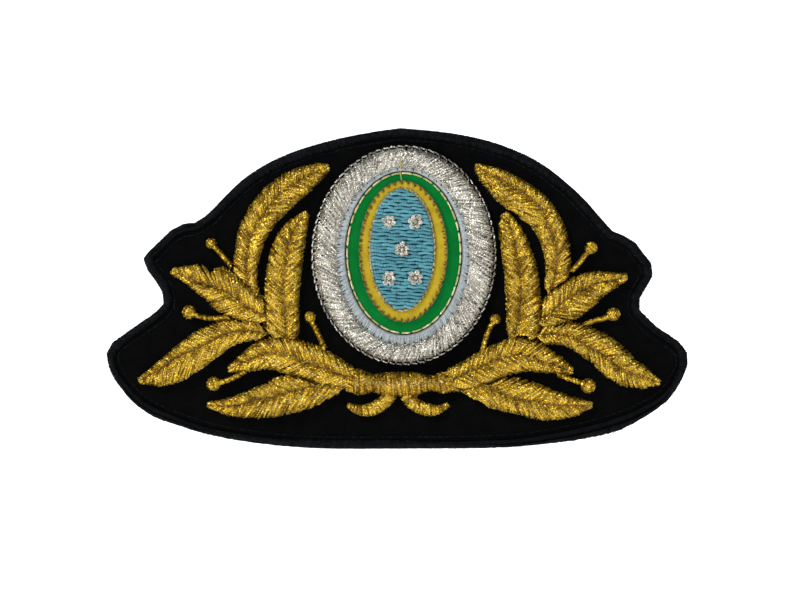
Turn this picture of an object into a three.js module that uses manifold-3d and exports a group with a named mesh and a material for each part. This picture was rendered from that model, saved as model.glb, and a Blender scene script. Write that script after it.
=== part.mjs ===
// A cloth cap badge: a stiffened felt shape with a bound edge, two branches of
// raised satin-stitch leaves, a knot, and an oval medallion sewn on the middle.
//
// Millimetres, +Z up as the badge is worn, and -Y towards the viewer.  The flat
// back face, which is sewn to the cap, lies on y = 0 with the origin at its middle.

import * as THREE from 'three';
import { LoftGeometry } from 'three/addons/geometries/LoftGeometry.js';
import { mergeVertices } from 'three/addons/utils/BufferGeometryUtils.js';
import Module from 'manifold-3d';

const wasm = await Module();
wasm.setup();

// ---------------------------------------------------------------- driving sizes

const BADGE_WIDTH = 110.4;
const BADGE_HEIGHT = 61.2;
const MEDALLION_WIDTH = 35.8;
const MEDALLION_HEIGHT = 42.4;

const BACKING_THICKNESS = 0.5;
const STIFFENER_THICKNESS = 1.2;
const FELT_THICKNESS = 1.2;
const GLUE_LINE = 0.04; // left between one cloth layer and the next

const EDGE_WIDTH = 1.6; // how far the bound edge reaches over the cloth
const EDGE_LIP = 0.5; // thickness of the binding over the face cloth
const EDGE_GRIP = 0.9; // how deep the cloth sits inside the binding
const EDGE_CLEARANCE = 0.05;
const EDGE_ROUND = 0.5; // the binding's outer corners are eased by this much
const SEAM_GAP = 0.35; // from the binding to the line of stitches just inside it
const SEAM_RISE = 0.2;

const LEAF_RISE = 1.7; // height of the satin lobes above the felt
const LEAF_WIDTH = 6; // a leaf this wide stands at its full rise
const KNOT_RISE = 1.8;
const KNOT_WIDTH = 4;
const TENDRIL_RISE = 1.1;
const TENDRIL_WIDTH = 2;
const STALK_RISE = 0.8;
const STALK_WIDTH = 0.76;
const BERRY_RISE = 1.3;
const PAD_CLEARANCE = 0.08;
const NEIGHBOUR_GAP = 0.3; // between a piece and the one that passes over it

const MEDALLION_GROUND = 0.8;
const SILVER_RISE = 1.5;
const PALE_RISE = 0.65;
const OVAL_STEP = 0.35; // thickness of each coloured oval of cloth
const THREAD = 0.4; // width of a single laid thread
const THREAD_RISE = 0.3;
const OVAL_GAP = 0.1; // around a ring that closes on another
const ROSETTE_RADIUS = 1.45;
const ROSETTE_RISE = 0.35;

// The pattern below is drawn for a badge of this size, and is enlarged to fit.
const DRAWN_WIDTH = 110.4;
const DRAWN_HEIGHT = 61.2;
const DRAWN_MEDALLION_WIDTH = 35.8;
const DRAWN_MEDALLION_HEIGHT = 42.4;

const OUTLINE_STEPS = 116;
const OVAL_STEPS = 48;
const COLUMN_STEPS = 12;
const STALK_STEPS = 6;

// ---------------------------------------------------------------- places that follow the sizes

const SEAM_INSET = EDGE_WIDTH + SEAM_GAP;
const MEDALLION_CENTRE = [1.2, 6.4];

/** The two edges of the badge and, between them, the two edges of the medallion. */
function marks(badgeSize, centre, medallionSize) {
  return [-badgeSize / 2, centre - medallionSize / 2, centre + medallionSize / 2, badgeSize / 2];
}

// The pattern is drawn to the first marks of each pair and stretched to the second.
const WIDTH_SCALE = BADGE_WIDTH / DRAWN_WIDTH;
const HEIGHT_SCALE = BADGE_HEIGHT / DRAWN_HEIGHT;
const TOP_SHIFT = ((MEDALLION_HEIGHT - DRAWN_MEDALLION_HEIGHT) / 2) * HEIGHT_SCALE; // the top edge stays put
const ACROSS = {
  drawn: marks(DRAWN_WIDTH, MEDALLION_CENTRE[0], DRAWN_MEDALLION_WIDTH),
  placed: marks(BADGE_WIDTH, MEDALLION_CENTRE[0] * WIDTH_SCALE, MEDALLION_WIDTH * WIDTH_SCALE),
};
const UPWARD = {
  drawn: marks(DRAWN_HEIGHT, MEDALLION_CENTRE[1], DRAWN_MEDALLION_HEIGHT),
  placed: marks(BADGE_HEIGHT, MEDALLION_CENTRE[1] * HEIGHT_SCALE - TOP_SHIFT, MEDALLION_HEIGHT * HEIGHT_SCALE),
};

// ---------------------------------------------------------------- depths, from the back

const STIFFENER_BACK = BACKING_THICKNESS + GLUE_LINE;
const FELT_BACK = STIFFENER_BACK + STIFFENER_THICKNESS + GLUE_LINE;
const FELT_FRONT = FELT_BACK + FELT_THICKNESS;
const STITCH_FLOOR = FELT_FRONT + GLUE_LINE;
const MEDALLION_FLOOR = STITCH_FLOOR + MEDALLION_GROUND + GLUE_LINE;

// ---------------------------------------------------------------- colours

const BLACK = { color: 0x0d0e12, roughness: 0.95, metalness: 0.0 };
const BINDING = { color: 0x15181d, roughness: 0.8, metalness: 0.0 };
const BUCKRAM = { color: 0xd8d2c2, roughness: 0.9, metalness: 0.0 };
const LINING = { color: 0x1a1b1f, roughness: 0.85, metalness: 0.0 };
const GOLD = { color: 0xc49a35, roughness: 0.4, metalness: 0.6 };
const FOAM = { color: 0xb8912f, roughness: 0.9, metalness: 0.0 };
const SILVER = { color: 0xb9b6b0, roughness: 0.4, metalness: 0.6 };
const PALE = { color: 0xb9c3d0, roughness: 0.6, metalness: 0.1 };
const GREEN = { color: 0x067a33, roughness: 0.6, metalness: 0.0 };
const YELLOW = { color: 0xd0b02a, roughness: 0.55, metalness: 0.1 };
const BLUE = { color: 0x5fb4cf, roughness: 0.6, metalness: 0.0 };

// ---------------------------------------------------------------- small helpers

const badge = new THREE.Group();

function addPiece(name, geometry, look) {
  const mesh = new THREE.Mesh(geometry, new THREE.MeshStandardMaterial(look));
  mesh.name = name;
  badge.add(mesh);
}

/** Moves a drawn value with the marks on either side of it. */
function moveByMarks(value, { drawn, placed }) {
  const above = drawn.findIndex((mark) => value < mark);
  const i = above < 0 ? drawn.length - 1 : Math.max(1, above);
  return THREE.MathUtils.mapLinear(value, drawn[i - 1], drawn[i], placed[i - 1], placed[i]);
}

/** A point of the badge pattern, `depth` in front of the back face. */
function patternPoint(x, z, depth) {
  return new THREE.Vector3(moveByMarks(x, ACROSS), -depth, moveByMarks(z, UPWARD));
}

/** The same, as a corner of a flat outline. */
function patternCorner(x, z) {
  return new THREE.Vector2(moveByMarks(x, ACROSS), moveByMarks(z, UPWARD));
}

/** A flat piece of cloth with this outline, from one depth to another. */
function clothLayer(outline, back, front) {
  const shape = new THREE.Shape(outline);
  const layer = new THREE.ExtrudeGeometry(shape, { depth: front - back, bevelEnabled: false });
  layer.rotateX(Math.PI / 2);
  layer.translate(0, -back, 0);
  return layer;
}

/** A ring whose section is repeated all the way around. */
function closedLoft(sections) {
  return new LoftGeometry([...sections, sections[0]]);
}

function solidOf(geometry) {
  const bare = new THREE.BufferGeometry();
  bare.setAttribute('position', geometry.getAttribute('position').clone());
  bare.setIndex(geometry.getIndex());
  const merged = mergeVertices(bare, 1e-5);
  const index = merged.getIndex().array;
  const corners = [];
  for (let i = 0; i < index.length; i += 3) {
    const [a, b, c] = [index[i], index[i + 1], index[i + 2]];
    if (a !== b && b !== c && c !== a) corners.push(a, b, c);
  }
  return new wasm.Manifold(
    new wasm.Mesh({
      numProp: 3,
      vertProperties: new Float32Array(merged.getAttribute('position').array),
      triVerts: new Uint32Array(corners),
    }),
  );
}

function geometryOf(solid) {
  const mesh = solid.getMesh();
  const geometry = new THREE.BufferGeometry();
  geometry.setAttribute('position', new THREE.BufferAttribute(mesh.vertProperties, 3));
  geometry.setIndex(new THREE.BufferAttribute(mesh.triVerts, 1));
  return geometry;
}

/** The geometry with each neighbour that passes over it cut away. */
function cutBack(geometry, neighbours) {
  let solid = solidOf(geometry);
  for (const neighbour of neighbours) {
    solid = solid.subtract(solidOf(neighbour));
  }
  return geometryOf(solid);
}

// ---------------------------------------------------------------- the felt shape

/** The badge outline: a long arch, two stepped ears on each side, and a full lower curve. */
function badgeOutline() {
  const outline = new THREE.Path();
  outline.moveTo(0.5, 30.5);
  outline.splineThru(pointsOf([
    [10.7, 29.5], [19.8, 27.3], [27.8, 23.5], [35.2, 17.4],
  ]));
  outline.lineTo(40.4, 11.4);
  outline.quadraticCurveTo(41.4, 10.2, 43.2, 10.0);
  outline.quadraticCurveTo(44.8, 9.8, 45.6, 8.1);
  outline.lineTo(48.2, 5.0);
  outline.quadraticCurveTo(49.2, 3.2, 47.9, 1.4);
  outline.lineTo(46.3, -1.2);
  outline.quadraticCurveTo(45.2, -3.2, 46.1, -4.2);
  outline.lineTo(49.3, -7.4);
  outline.quadraticCurveTo(52.4, -9.2, 54.3, -10.8);
  outline.quadraticCurveTo(55.8, -12.4, 54.9, -15.6);
  outline.splineThru(pointsOf([
    [51.6, -20.7], [46.0, -24.1], [39.4, -26.5], [31.2, -28.4], [20.4, -29.9], [0.5, -30.3],
    [-18.3, -30.1], [-33.3, -28.2], [-42.1, -25.6], [-49.0, -22.3], [-53.6, -17.4],
  ]));
  outline.quadraticCurveTo(-56.4, -12.6, -54.7, -10.6);
  outline.lineTo(-50.3, -7.5);
  outline.lineTo(-45.9, -4.5);
  outline.quadraticCurveTo(-43.8, -3.2, -44.4, -1.2);
  outline.quadraticCurveTo(-45.2, 0.8, -48.0, 4.2);
  outline.quadraticCurveTo(-48.9, 5.3, -47.8, 6.3);
  outline.lineTo(-42.8, 11.3);
  outline.quadraticCurveTo(-41.8, 12.2, -40.2, 12.0);
  outline.quadraticCurveTo(-37.8, 12.2, -35.3, 14.9);
  outline.splineThru(pointsOf([
    [-29.2, 20.9], [-22.1, 25.1], [-13.0, 28.1], [-4.0, 29.9],
  ]));
  outline.lineTo(0.5, 30.5);
  return outline;
}

function pointsOf(pairs) {
  return pairs.map(([x, z]) => new THREE.Vector2(x, z));
}

/** Evenly spaced corners around the badge, moved `inset` inside its outline. */
function outlineCorners(inset) {
  const drawn = badgeOutline().getSpacedPoints(OUTLINE_STEPS).slice(0, OUTLINE_STEPS);
  const corners = drawn.map(({ x, y }) => patternCorner(x, y));
  return corners.map((corner, i) => {
    const before = corners[(i + OUTLINE_STEPS - 1) % OUTLINE_STEPS];
    const after = corners[(i + 1) % OUTLINE_STEPS];
    const arriving = corner.clone().sub(before).normalize();
    const leaving = after.clone().sub(corner).normalize();
    const mitre = arriving.clone().add(leaving).normalize();
    const inward = new THREE.Vector2(mitre.y, -mitre.x);
    const stretch = 1 / Math.max(0.5, mitre.dot(arriving));
    return corner.clone().addScaledVector(inward, inset * stretch);
  });
}

function addClothLayers() {
  const gripped = outlineCorners(EDGE_WIDTH - EDGE_GRIP + EDGE_CLEARANCE);
  const bordered = outlineCorners(EDGE_WIDTH + EDGE_CLEARANCE);
  addPiece('backing_cloth', clothLayer(bordered, 0, BACKING_THICKNESS), LINING);
  addPiece('stiffener', clothLayer(gripped, STIFFENER_BACK, STIFFENER_BACK + STIFFENER_THICKNESS), BUCKRAM);
  addPiece('face_felt', clothLayer(gripped, FELT_BACK, FELT_FRONT), BLACK);
}

/** A band run around the badge: its section is a list of [distance inside the outline, depth]. */
function edgeBand(section) {
  const rows = section.map(([inset]) => outlineCorners(inset));
  const sections = [];
  for (let i = 0; i < OUTLINE_STEPS; i += 1) {
    sections.push(section.map(([, depth], j) => new THREE.Vector3(rows[j][i].x, -depth, rows[j][i].y)));
  }
  return closedLoft(sections);
}

function addBoundEdge() {
  const slot = EDGE_WIDTH - EDGE_GRIP;
  const front = STITCH_FLOOR + EDGE_LIP;
  const section = [
    [EDGE_WIDTH, 0],
    [EDGE_ROUND, 0],
    [0, 2 * EDGE_ROUND],
    [0, front - 2 * EDGE_ROUND],
    [EDGE_ROUND, front - 0.2 * EDGE_ROUND],
    [EDGE_WIDTH - EDGE_ROUND, front],
    [EDGE_WIDTH, STITCH_FLOOR],
    [slot, STITCH_FLOOR],
    [slot, BACKING_THICKNESS],
    [EDGE_WIDTH, BACKING_THICKNESS],
  ];
  addPiece('bound_edge', edgeBand(section), BINDING);
  const seam = [
    [SEAM_INSET, STITCH_FLOOR],
    [SEAM_INSET, STITCH_FLOOR + SEAM_RISE],
    [SEAM_INSET + THREAD, STITCH_FLOOR + SEAM_RISE],
    [SEAM_INSET + THREAD, STITCH_FLOOR],
  ];
  addPiece('edge_seam', edgeBand(seam), BINDING);
}

// ---------------------------------------------------------------- satin columns

// A column is drawn as stations from its tip to its base.  Each station is
// [x, z, reach to the left, reach to the right], walking towards the base.

const LEAVES = {
  leaf_left_outer: [
    [-13.1, 23.1, 0.6, 0.5], [-15.2, 22.3, 1.7, 1.6], [-18.5, 20.6, 2.8, 2.3], [-22.1, 18.1, 3.3, 2.9],
    [-25.4, 14.2, 2.8, 3.0], [-27.5, 10.4, 2.6, 2.8], [-28.4, 6.7, 2.3, 2.5], [-28.6, 3.2, 1.9, 2.6],
    [-28.0, 0.2, 1.6, 2.6], [-26.5, -2.9, 1.4, 2.4],
  ],
  leaf_left_inner: [
    [-17.3, 14.3, 0.6, 0.6], [-18.6, 12.9, 1.9, 1.1], [-19.9, 10.6, 2.7, 2.3], [-21.0, 6.5, 3.1, 3.2],
    [-21.6, 1.3, 3.1, 3.5], [-21.6, -1.7, 2.9, 3.6], [-21.3, -4.8, 2.6, 3.8], [-21.2, -7.4, 2.5, 3.8],
    [-21.2, -10.1, 2.5, 3.5],
  ],
  leaf_left_side: [
    [-42.8, 3.4, 0.6, 0.5], [-39.8, 2.1, 2.6, 1.1], [-37.5, 1.3, 3.3, 2.0], [-36.2, 0.8, 2.2, 2.4],
    [-35.4, 0.6, 3.0, 3.1], [-34.3, 0.4, 4.0, 3.6], [-32.0, -0.9, 3.5, 4.0], [-29.0, -2.9, 2.8, 3.3],
    [-25.7, -4.8, 2.4, 2.0], [-24.2, -5.5, 2.2, 1.0],
  ],
  leaf_left_lower: [
    [-49.1, -17.4, 0.4, 0.6], [-45.7, -15.4, 1.0, 3.5], [-43.0, -13.5, 1.3, 4.5], [-40.4, -12.2, 2.0, 4.2],
    [-37.7, -11.0, 2.7, 3.7], [-35.2, -9.9, 3.0, 3.0], [-32.6, -8.6, 2.7, 2.6], [-29.9, -8.0, 2.3, 2.1],
    [-27.1, -8.0, 2.1, 1.8], [-23.8, -8.4, 2.1, 1.6],
  ],
  leaf_left_middle: [
    [-32.0, -15.2, 0.4, 0.6], [-29.9, -14.2, 1.2, 1.6], [-27.5, -13.2, 2.1, 2.3], [-24.8, -12.2, 2.8, 3.1],
    [-22.5, -12.0, 3.1, 3.6], [-20.0, -12.7, 3.3, 3.5], [-17.0, -13.9, 3.5, 3.2], [-14.3, -14.8, 3.3, 3.3],
    [-11.3, -16.1, 2.6, 2.7], [-8.4, -17.3, 2.2, 1.9],
  ],
  leaf_left_bottom: [
    [-35.9, -21.9, 0.4, 0.6], [-32.6, -22.2, 1.3, 1.7], [-29.9, -21.9, 1.7, 2.5], [-27.5, -21.1, 2.0, 3.4],
    [-24.2, -20.7, 2.8, 3.6], [-21.8, -19.9, 3.3, 3.9], [-19.1, -19.2, 3.1, 4.0], [-16.6, -18.5, 1.9, 3.9],
    [-13.8, -18.2, 1.2, 2.9], [-10.9, -18.2, 1.0, 1.4],
  ],
  leaf_right_outer: [
    [14.9, 23.4, 0.4, 0.6], [16.8, 22.3, 1.1, 2.1], [19.1, 21.1, 1.7, 3.2], [21.6, 19.6, 2.0, 4.0],
    [24.6, 17.7, 2.1, 4.3], [27.3, 15.0, 2.4, 3.7], [28.8, 11.6, 2.8, 2.6], [29.9, 8.7, 2.7, 2.5],
    [30.3, 5.9, 2.6, 2.3], [29.9, 2.7, 2.6, 1.7], [28.8, -0.6, 2.3, 1.2],
  ],
  leaf_right_inner: [
    [20.2, 14.3, 0.6, 0.6], [21.0, 12.9, 1.2, 1.8], [21.8, 10.3, 2.2, 2.4], [22.7, 5.9, 3.1, 2.8],
    [23.3, 2.7, 3.4, 2.9], [23.4, -0.2, 3.7, 2.9], [23.3, -3.0, 4.0, 2.7], [22.8, -5.9, 4.3, 2.1],
    [22.1, -9.4, 4.6, 1.3],
  ],
  leaf_right_side: [
    [43.5, 2.3, 0.5, 0.6], [41.1, 1.7, 1.5, 1.4], [37.9, 1.1, 2.8, 2.3], [35.1, -0.2, 3.8, 2.9],
    [32.0, -1.9, 4.3, 2.9], [30.3, -3.2, 3.9, 2.8], [28.6, -4.8, 2.7, 2.7], [26.9, -5.9, 1.9, 2.6],
  ],
  leaf_right_lower: [
    [49.7, -17.7, 0.6, 0.4], [46.5, -16.6, 2.4, 1.9], [43.4, -15.6, 2.8, 2.9], [40.9, -13.9, 2.9, 3.5],
    [38.3, -12.0, 2.5, 3.6], [35.6, -10.6, 2.0, 3.5], [33.5, -9.3, 2.0, 3.1], [31.3, -8.7, 1.9, 2.5],
    [28.6, -8.6, 1.8, 2.2], [25.9, -8.9, 1.5, 2.1],
  ],
  leaf_right_middle: [
    [33.2, -15.6, 0.6, 0.5], [30.9, -14.8, 1.3, 1.6], [27.8, -13.9, 1.9, 2.8], [25.2, -12.9, 2.9, 3.4],
    [22.7, -12.5, 3.4, 3.4], [19.5, -13.3, 3.4, 3.0], [16.1, -14.6, 3.6, 2.7], [13.6, -15.6, 3.5, 2.1],
    [10.9, -16.9, 2.7, 2.1], [9.2, -17.8, 2.1, 2.0],
  ],
  leaf_right_bottom: [
    [36.9, -22.0, 0.5, 0.5], [33.0, -22.1, 2.2, 1.6], [29.2, -21.9, 3.0, 2.8], [26.5, -21.5, 3.1, 3.4],
    [23.5, -20.9, 2.9, 3.8], [20.8, -20.1, 3.2, 3.6], [18.7, -19.0, 3.8, 2.4], [16.8, -18.4, 3.5, 1.3],
    [13.8, -18.4, 2.2, 0.9], [11.5, -18.6, 0.9, 0.8],
  ],
};

const KNOT = [
  [-8.2, -17.6, 2.5, 2.3], [-6.6, -17.8, 2.3, 2.4], [-4.9, -17.8, 1.6, 1.6], [-2.6, -18.0, 2.1, 2.2],
  [0.5, -18.1, 2.3, 2.3], [3.3, -18.0, 2.2, 2.2], [6.4, -17.9, 1.3, 1.3], [8.0, -17.8, 1.8, 2.0],
  [9.2, -17.6, 2.1, 2.2],
];

const TENDRILS = {
  tendril_left: [
    [-9.4, -22.1, 0.4, 0.3], [-7.4, -23.0, 0.9, 0.9], [-4.8, -22.8, 1.2, 1.2], [-2.6, -21.6, 1.3, 1.2],
    [-1.2, -19.8, 1.3, 1.2],
  ],
  tendril_right: [
    [9.6, -22.1, 0.3, 0.4], [7.8, -22.9, 0.8, 0.8], [5.9, -23.0, 1.1, 1.1], [3.9, -22.3, 1.2, 1.2],
    [2.2, -21.0, 1.2, 1.2], [1.4, -19.6, 1.1, 1.1],
  ],
};

// Each berry is [x, z, radius, and then the points of its stalk down to the leaf].
const BERRIES = {
  berry_left_top: [-35.4, 8.6, 0.95, [-33.7, 6.9], [-31.6, 4.4]],
  berry_left_side: [-39.6, -4.4, 1.2, [-37.6, -5.2], [-35.0, -5.6], [-32.2, -5.4]],
  berry_left_inner: [-16.6, -5.3, 0.95, [-15.9, -6.9], [-14.9, -8.9], [-13.8, -11.4]],
  berry_left_bottom: [-34.9, -18.0, 1.25, [-33.0, -17.6], [-31.0, -16.8], [-28.8, -15.6]],
  berry_right_top: [36.8, 7.8, 1.1, [35.6, 6.4], [34.4, 4.8], [33.0, 3.4]],
  berry_right_side: [41.0, -4.8, 1.2, [39.2, -5.6], [37.4, -6.0], [35.0, -7.0]],
  berry_right_inner: [18.6, -5.7, 0.95, [17.6, -7.2], [16.9, -8.9], [16.2, -11.6]],
  berry_right_bottom: [36.2, -18.4, 1.35, [34.2, -17.6], [32.4, -17.0], [30.4, -16.2]],
};

/** Smoothed stations of a column: middle point, left direction and the two reaches. */
function columnStations(drawn, count = COLUMN_STEPS) {
  const middle = new THREE.SplineCurve(drawn.map(([x, z]) => new THREE.Vector2(x, z)));
  const reach = new THREE.SplineCurve(drawn.map(([, , left, right]) => new THREE.Vector2(left, right)));
  const stations = [];
  for (let i = 0; i < count; i += 1) {
    const t = i / (count - 1);
    const ahead = middle.getTangent(t);
    const { x: left, y: right } = reach.getPoint(t);
    stations.push({ at: middle.getPoint(t), leftward: new THREE.Vector2(-ahead.y, ahead.x), left, right });
  }
  return stations;
}

/** A place across a station: side -1 is its left edge, 0 its middle and 1 its right edge. */
function acrossStation(station, side) {
  const reach = side < 0 ? -side * station.left : -side * station.right;
  return station.at.clone().addScaledVector(station.leftward, reach);
}

/** Narrow stretches of a column stand lower than its full width. */
function localRise(station, rise, fullWidth) {
  return rise * Math.sqrt(Math.min(1, (station.left + station.right) / fullWidth));
}

function loftColumn(stations, section, rise, fullWidth) {
  const sections = stations.map((station) => {
    const height = localRise(station, rise, fullWidth);
    return section.map(([side, share, drop = 0]) => {
      const spot = acrossStation(station, side);
      return patternPoint(spot.x, spot.y, STITCH_FLOOR + Math.max(0, share * height - drop));
    });
  });
  return new LoftGeometry(sections, { capStart: true, capEnd: true });
}

// Sections are [side, share of the rise], from the left foot over to the right foot.
// The hollow of a section is the underside of its satin.
const LEAF_SECTION = {
  arch: [
    [-1, 0], [-0.93, 0.45], [-0.52, 1], [-0.2, 0.84], [0, 0.6], [0.2, 0.84], [0.52, 1], [0.93, 0.45], [1, 0],
  ],
  hollow: [[-0.86, 0], [-0.8, 0.15], [-0.46, 0.7], [0, 0.32], [0.46, 0.7], [0.8, 0.15], [0.86, 0]],
};
const ROUND_SECTION = {
  arch: [[-1, 0], [-0.9, 0.55], [-0.5, 0.92], [0, 1], [0.5, 0.92], [0.9, 0.55], [1, 0]],
  hollow: [[-0.84, 0], [-0.76, 0.3], [-0.42, 0.62], [0, 0.7], [0.42, 0.62], [0.76, 0.3], [0.84, 0]],
};

/** A satin cover is the space between the arch and its hollow. */
function satinCover(drawn, { arch, hollow }, rise, fullWidth) {
  const section = [...arch, ...hollow.toReversed()];
  return loftColumn(columnStations(drawn), section, rise, fullWidth);
}

/** The padding fills the hollow, less its clearance, and stops short of both ends. */
function satinPad(drawn, { hollow }, rise, fullWidth) {
  const section = hollow.map(([side, share]) => {
    const foot = Math.abs(side) > 0.6;
    return [foot ? side * 0.92 : side, share, PAD_CLEARANCE];
  });
  return loftColumn(columnStations(drawn).slice(1, -1), section, rise, fullWidth);
}

/** A block that cuts right through the embroidery, but isn't part of the badge. */
function cuttingBlock(outline) {
  return clothLayer(outline, STITCH_FLOOR - KNOT_RISE, STITCH_FLOOR + 2 * KNOT_RISE);
}

/** A block over a column's whole outline, with the gap that its neighbours keep. */
function columnBlock(drawn, gap) {
  const stations = columnStations(drawn, 2 * COLUMN_STEPS);
  const left = stations.map((s) => s.at.clone().addScaledVector(s.leftward, s.left + gap));
  const right = stations.map((s) => s.at.clone().addScaledVector(s.leftward, -s.right - gap));
  return cuttingBlock([...left, ...right.reverse()].map(({ x, y }) => patternCorner(x, y)));
}

// Which neighbours pass over each leaf, for one branch.
const OVER = {
  outer: ['side', 'inner'],
  inner: ['middle'],
  side: ['inner'],
  lower: ['inner', 'side', 'middle'],
  middle: [],
  bottom: ['middle'],
};

function leafBlocks(branch, names) {
  return names.map((name) => columnBlock(LEAVES[`leaf_${branch}_${name}`], NEIGHBOUR_GAP));
}

/** The blocks that cut every embroidered piece: the knot and the medallion lie over them all. */
function topmostBlocks() {
  return [columnBlock(KNOT, NEIGHBOUR_GAP), medallionBlock()];
}

function addLeaves() {
  for (const branch of ['left', 'right']) {
    for (const [place, over] of Object.entries(OVER)) {
      const name = `leaf_${branch}_${place}`;
      const drawn = LEAVES[name];
      const blocks = [...leafBlocks(branch, over), ...topmostBlocks()];
      const cover = satinCover(drawn, LEAF_SECTION, LEAF_RISE, LEAF_WIDTH);
      const pad = satinPad(drawn, LEAF_SECTION, LEAF_RISE, LEAF_WIDTH);
      addPiece(name, cutBack(cover, blocks), GOLD);
      addPiece(`${name}_pad`, cutBack(pad, blocks), FOAM);
    }
  }
}

function addKnotAndTendrils() {
  const knot = satinCover(KNOT, ROUND_SECTION, KNOT_RISE, KNOT_WIDTH);
  const pad = satinPad(KNOT, ROUND_SECTION, KNOT_RISE, KNOT_WIDTH);
  addPiece('knot', cutBack(knot, [medallionBlock()]), GOLD);
  addPiece('knot_pad', cutBack(pad, [medallionBlock()]), FOAM);
  for (const [name, drawn] of Object.entries(TENDRILS)) {
    const column = loftColumn(columnStations(drawn), ROUND_SECTION.arch, TENDRIL_RISE, TENDRIL_WIDTH);
    addPiece(name, cutBack(column, topmostBlocks()), GOLD);
  }
}

/** Half of a flattened ball, with its flat side on the felt. */
function berryHead(x, z, radius) {
  const rings = 4;
  const dome = [new THREE.Vector2(0, 0)];
  for (let i = 0; i < rings; i += 1) {
    const turn = (i / rings) * (Math.PI / 2);
    dome.push(new THREE.Vector2(radius * Math.cos(turn), BERRY_RISE * Math.sin(turn)));
  }
  dome.push(new THREE.Vector2(0, BERRY_RISE));
  const head = new THREE.LatheGeometry(dome, 12);
  head.rotateX(Math.PI);
  const corners = head.getAttribute('position');
  for (let i = 0; i < corners.count; i += 1) {
    const placed = patternPoint(x + corners.getX(i), z + corners.getZ(i), STITCH_FLOOR - corners.getY(i));
    corners.setXYZ(i, placed.x, placed.y, placed.z);
  }
  return head;
}

function addBerries() {
  for (const [name, [x, z, radius, ...stalk]] of Object.entries(BERRIES)) {
    const drawn = [[x, z], ...stalk].map(([px, pz]) => [px, pz, STALK_WIDTH / 2, STALK_WIDTH / 2]);
    const stations = columnStations(drawn, STALK_STEPS);
    const column = loftColumn(stations, ROUND_SECTION.arch, STALK_RISE, STALK_WIDTH);
    const branch = x < 0 ? 'left' : 'right';
    const blocks = [...leafBlocks(branch, Object.keys(OVER)), ...topmostBlocks()];
    const berry = solidOf(berryHead(x, z, radius)).add(solidOf(column));
    addPiece(name, cutBack(geometryOf(berry), blocks), GOLD);
  }
}

// ---------------------------------------------------------------- the medallion

// Each oval is [centre x, centre z, half width, half height].
const GROUND_OVAL = [...MEDALLION_CENTRE, 17.9, 21.2];
const RIM_OVAL = [...MEDALLION_CENTRE, 17.5, 20.8];
const SILVER_OVAL = [...MEDALLION_CENTRE, 16.8, 20.1];
const PALE_OVAL = [1.1, 6.2, 12.4, 16.6];
const GREEN_OVAL = [1.2, 6.8, 11.1, 15.5];
const YELLOW_OVAL = [1.1, 7.1, 8.4, 13.4];
const BLUE_OVAL = [0.9, 7.4, 5.7, 11.1];
const FIELD_STITCH_OVAL = [0.9, 7.4, 6.4, 11.8];

function ovalPoint([x, z, halfWidth, halfHeight], turn, inset = 0) {
  const across = x + (halfWidth - inset) * Math.cos(turn);
  const up = z + (halfHeight - inset) * Math.sin(turn);
  return patternCorner(across, up);
}

const OVAL_TURNS = Array.from({ length: OVAL_STEPS }, (_, i) => (i / OVAL_STEPS) * 2 * Math.PI);

function ovalOutline(oval, inset = 0) {
  return OVAL_TURNS.map((turn) => ovalPoint(oval, turn, inset));
}

/** A block over the whole medallion, with the gap that the leaves keep from it. */
function medallionBlock() {
  return cuttingBlock(ovalOutline(GROUND_OVAL, -NEIGHBOUR_GAP));
}

/** A ring between two ovals: its section is a list of [share of the way out, depth]. */
function ovalRing(innerOval, outerOval, section) {
  const sections = OVAL_TURNS.map((turn) => {
    const inner = ovalPoint(innerOval, turn);
    const outer = ovalPoint(outerOval, turn);
    return section.map(([share, depth]) => {
      const spot = inner.clone().lerp(outer, share);
      return new THREE.Vector3(spot.x, -depth, spot.y);
    });
  });
  return closedLoft(sections);
}

function grownOval([x, z, halfWidth, halfHeight], by) {
  return [x, z, halfWidth + by, halfHeight + by];
}

/** One laid thread around the inside of an oval. */
function threadRing(oval, floor) {
  const front = floor + THREAD_RISE;
  return ovalRing(grownOval(oval, -THREAD), oval, [[0, floor], [0, front], [1, front], [1, floor]]);
}

function addMedallionGround() {
  const front = STITCH_FLOOR + MEDALLION_GROUND;
  addPiece('medallion_ground', clothLayer(ovalOutline(GROUND_OVAL), STITCH_FLOOR, front), BLACK);
  addPiece('rim_stitch', threadRing(RIM_OVAL, MEDALLION_FLOOR), SILVER);
}

// Ring sections are [share of the way from the inner edge to the outer edge, share of the rise].
const SILVER_SECTION = {
  arch: [[0, 0], [0.05, 0.6], [0.3, 0.96], [0.6, 1], [0.95, 0.6], [1, 0]],
  hollow: [[0.1, 0], [0.15, 0.42], [0.45, 0.7], [0.85, 0.42], [0.9, 0]],
  pad: [[0.14, 0], [0.2, 0.34], [0.45, 0.62], [0.8, 0.34], [0.86, 0]],
};
const PALE_SECTION = [[0, 0], [0.1, 0.8], [0.5, 1], [0.9, 0.8], [1, 0]];

function raised(section, rise) {
  return section.map(([share, height]) => [share, MEDALLION_FLOOR + height * rise]);
}

function addSilverRing() {
  const { arch, hollow, pad } = SILVER_SECTION;
  const innerEdge = grownOval(PALE_OVAL, OVAL_GAP);
  const cover = raised([...arch, ...hollow.toReversed()], SILVER_RISE);
  addPiece('silver_ring', ovalRing(innerEdge, SILVER_OVAL, cover), SILVER);
  addPiece('silver_ring_pad', ovalRing(innerEdge, SILVER_OVAL, raised(pad, SILVER_RISE)), FOAM);
}

function addPaleRing() {
  const innerEdge = grownOval(GREEN_OVAL, OVAL_GAP);
  addPiece('pale_ring', ovalRing(innerEdge, PALE_OVAL, raised(PALE_SECTION, PALE_RISE)), PALE);
}

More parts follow.
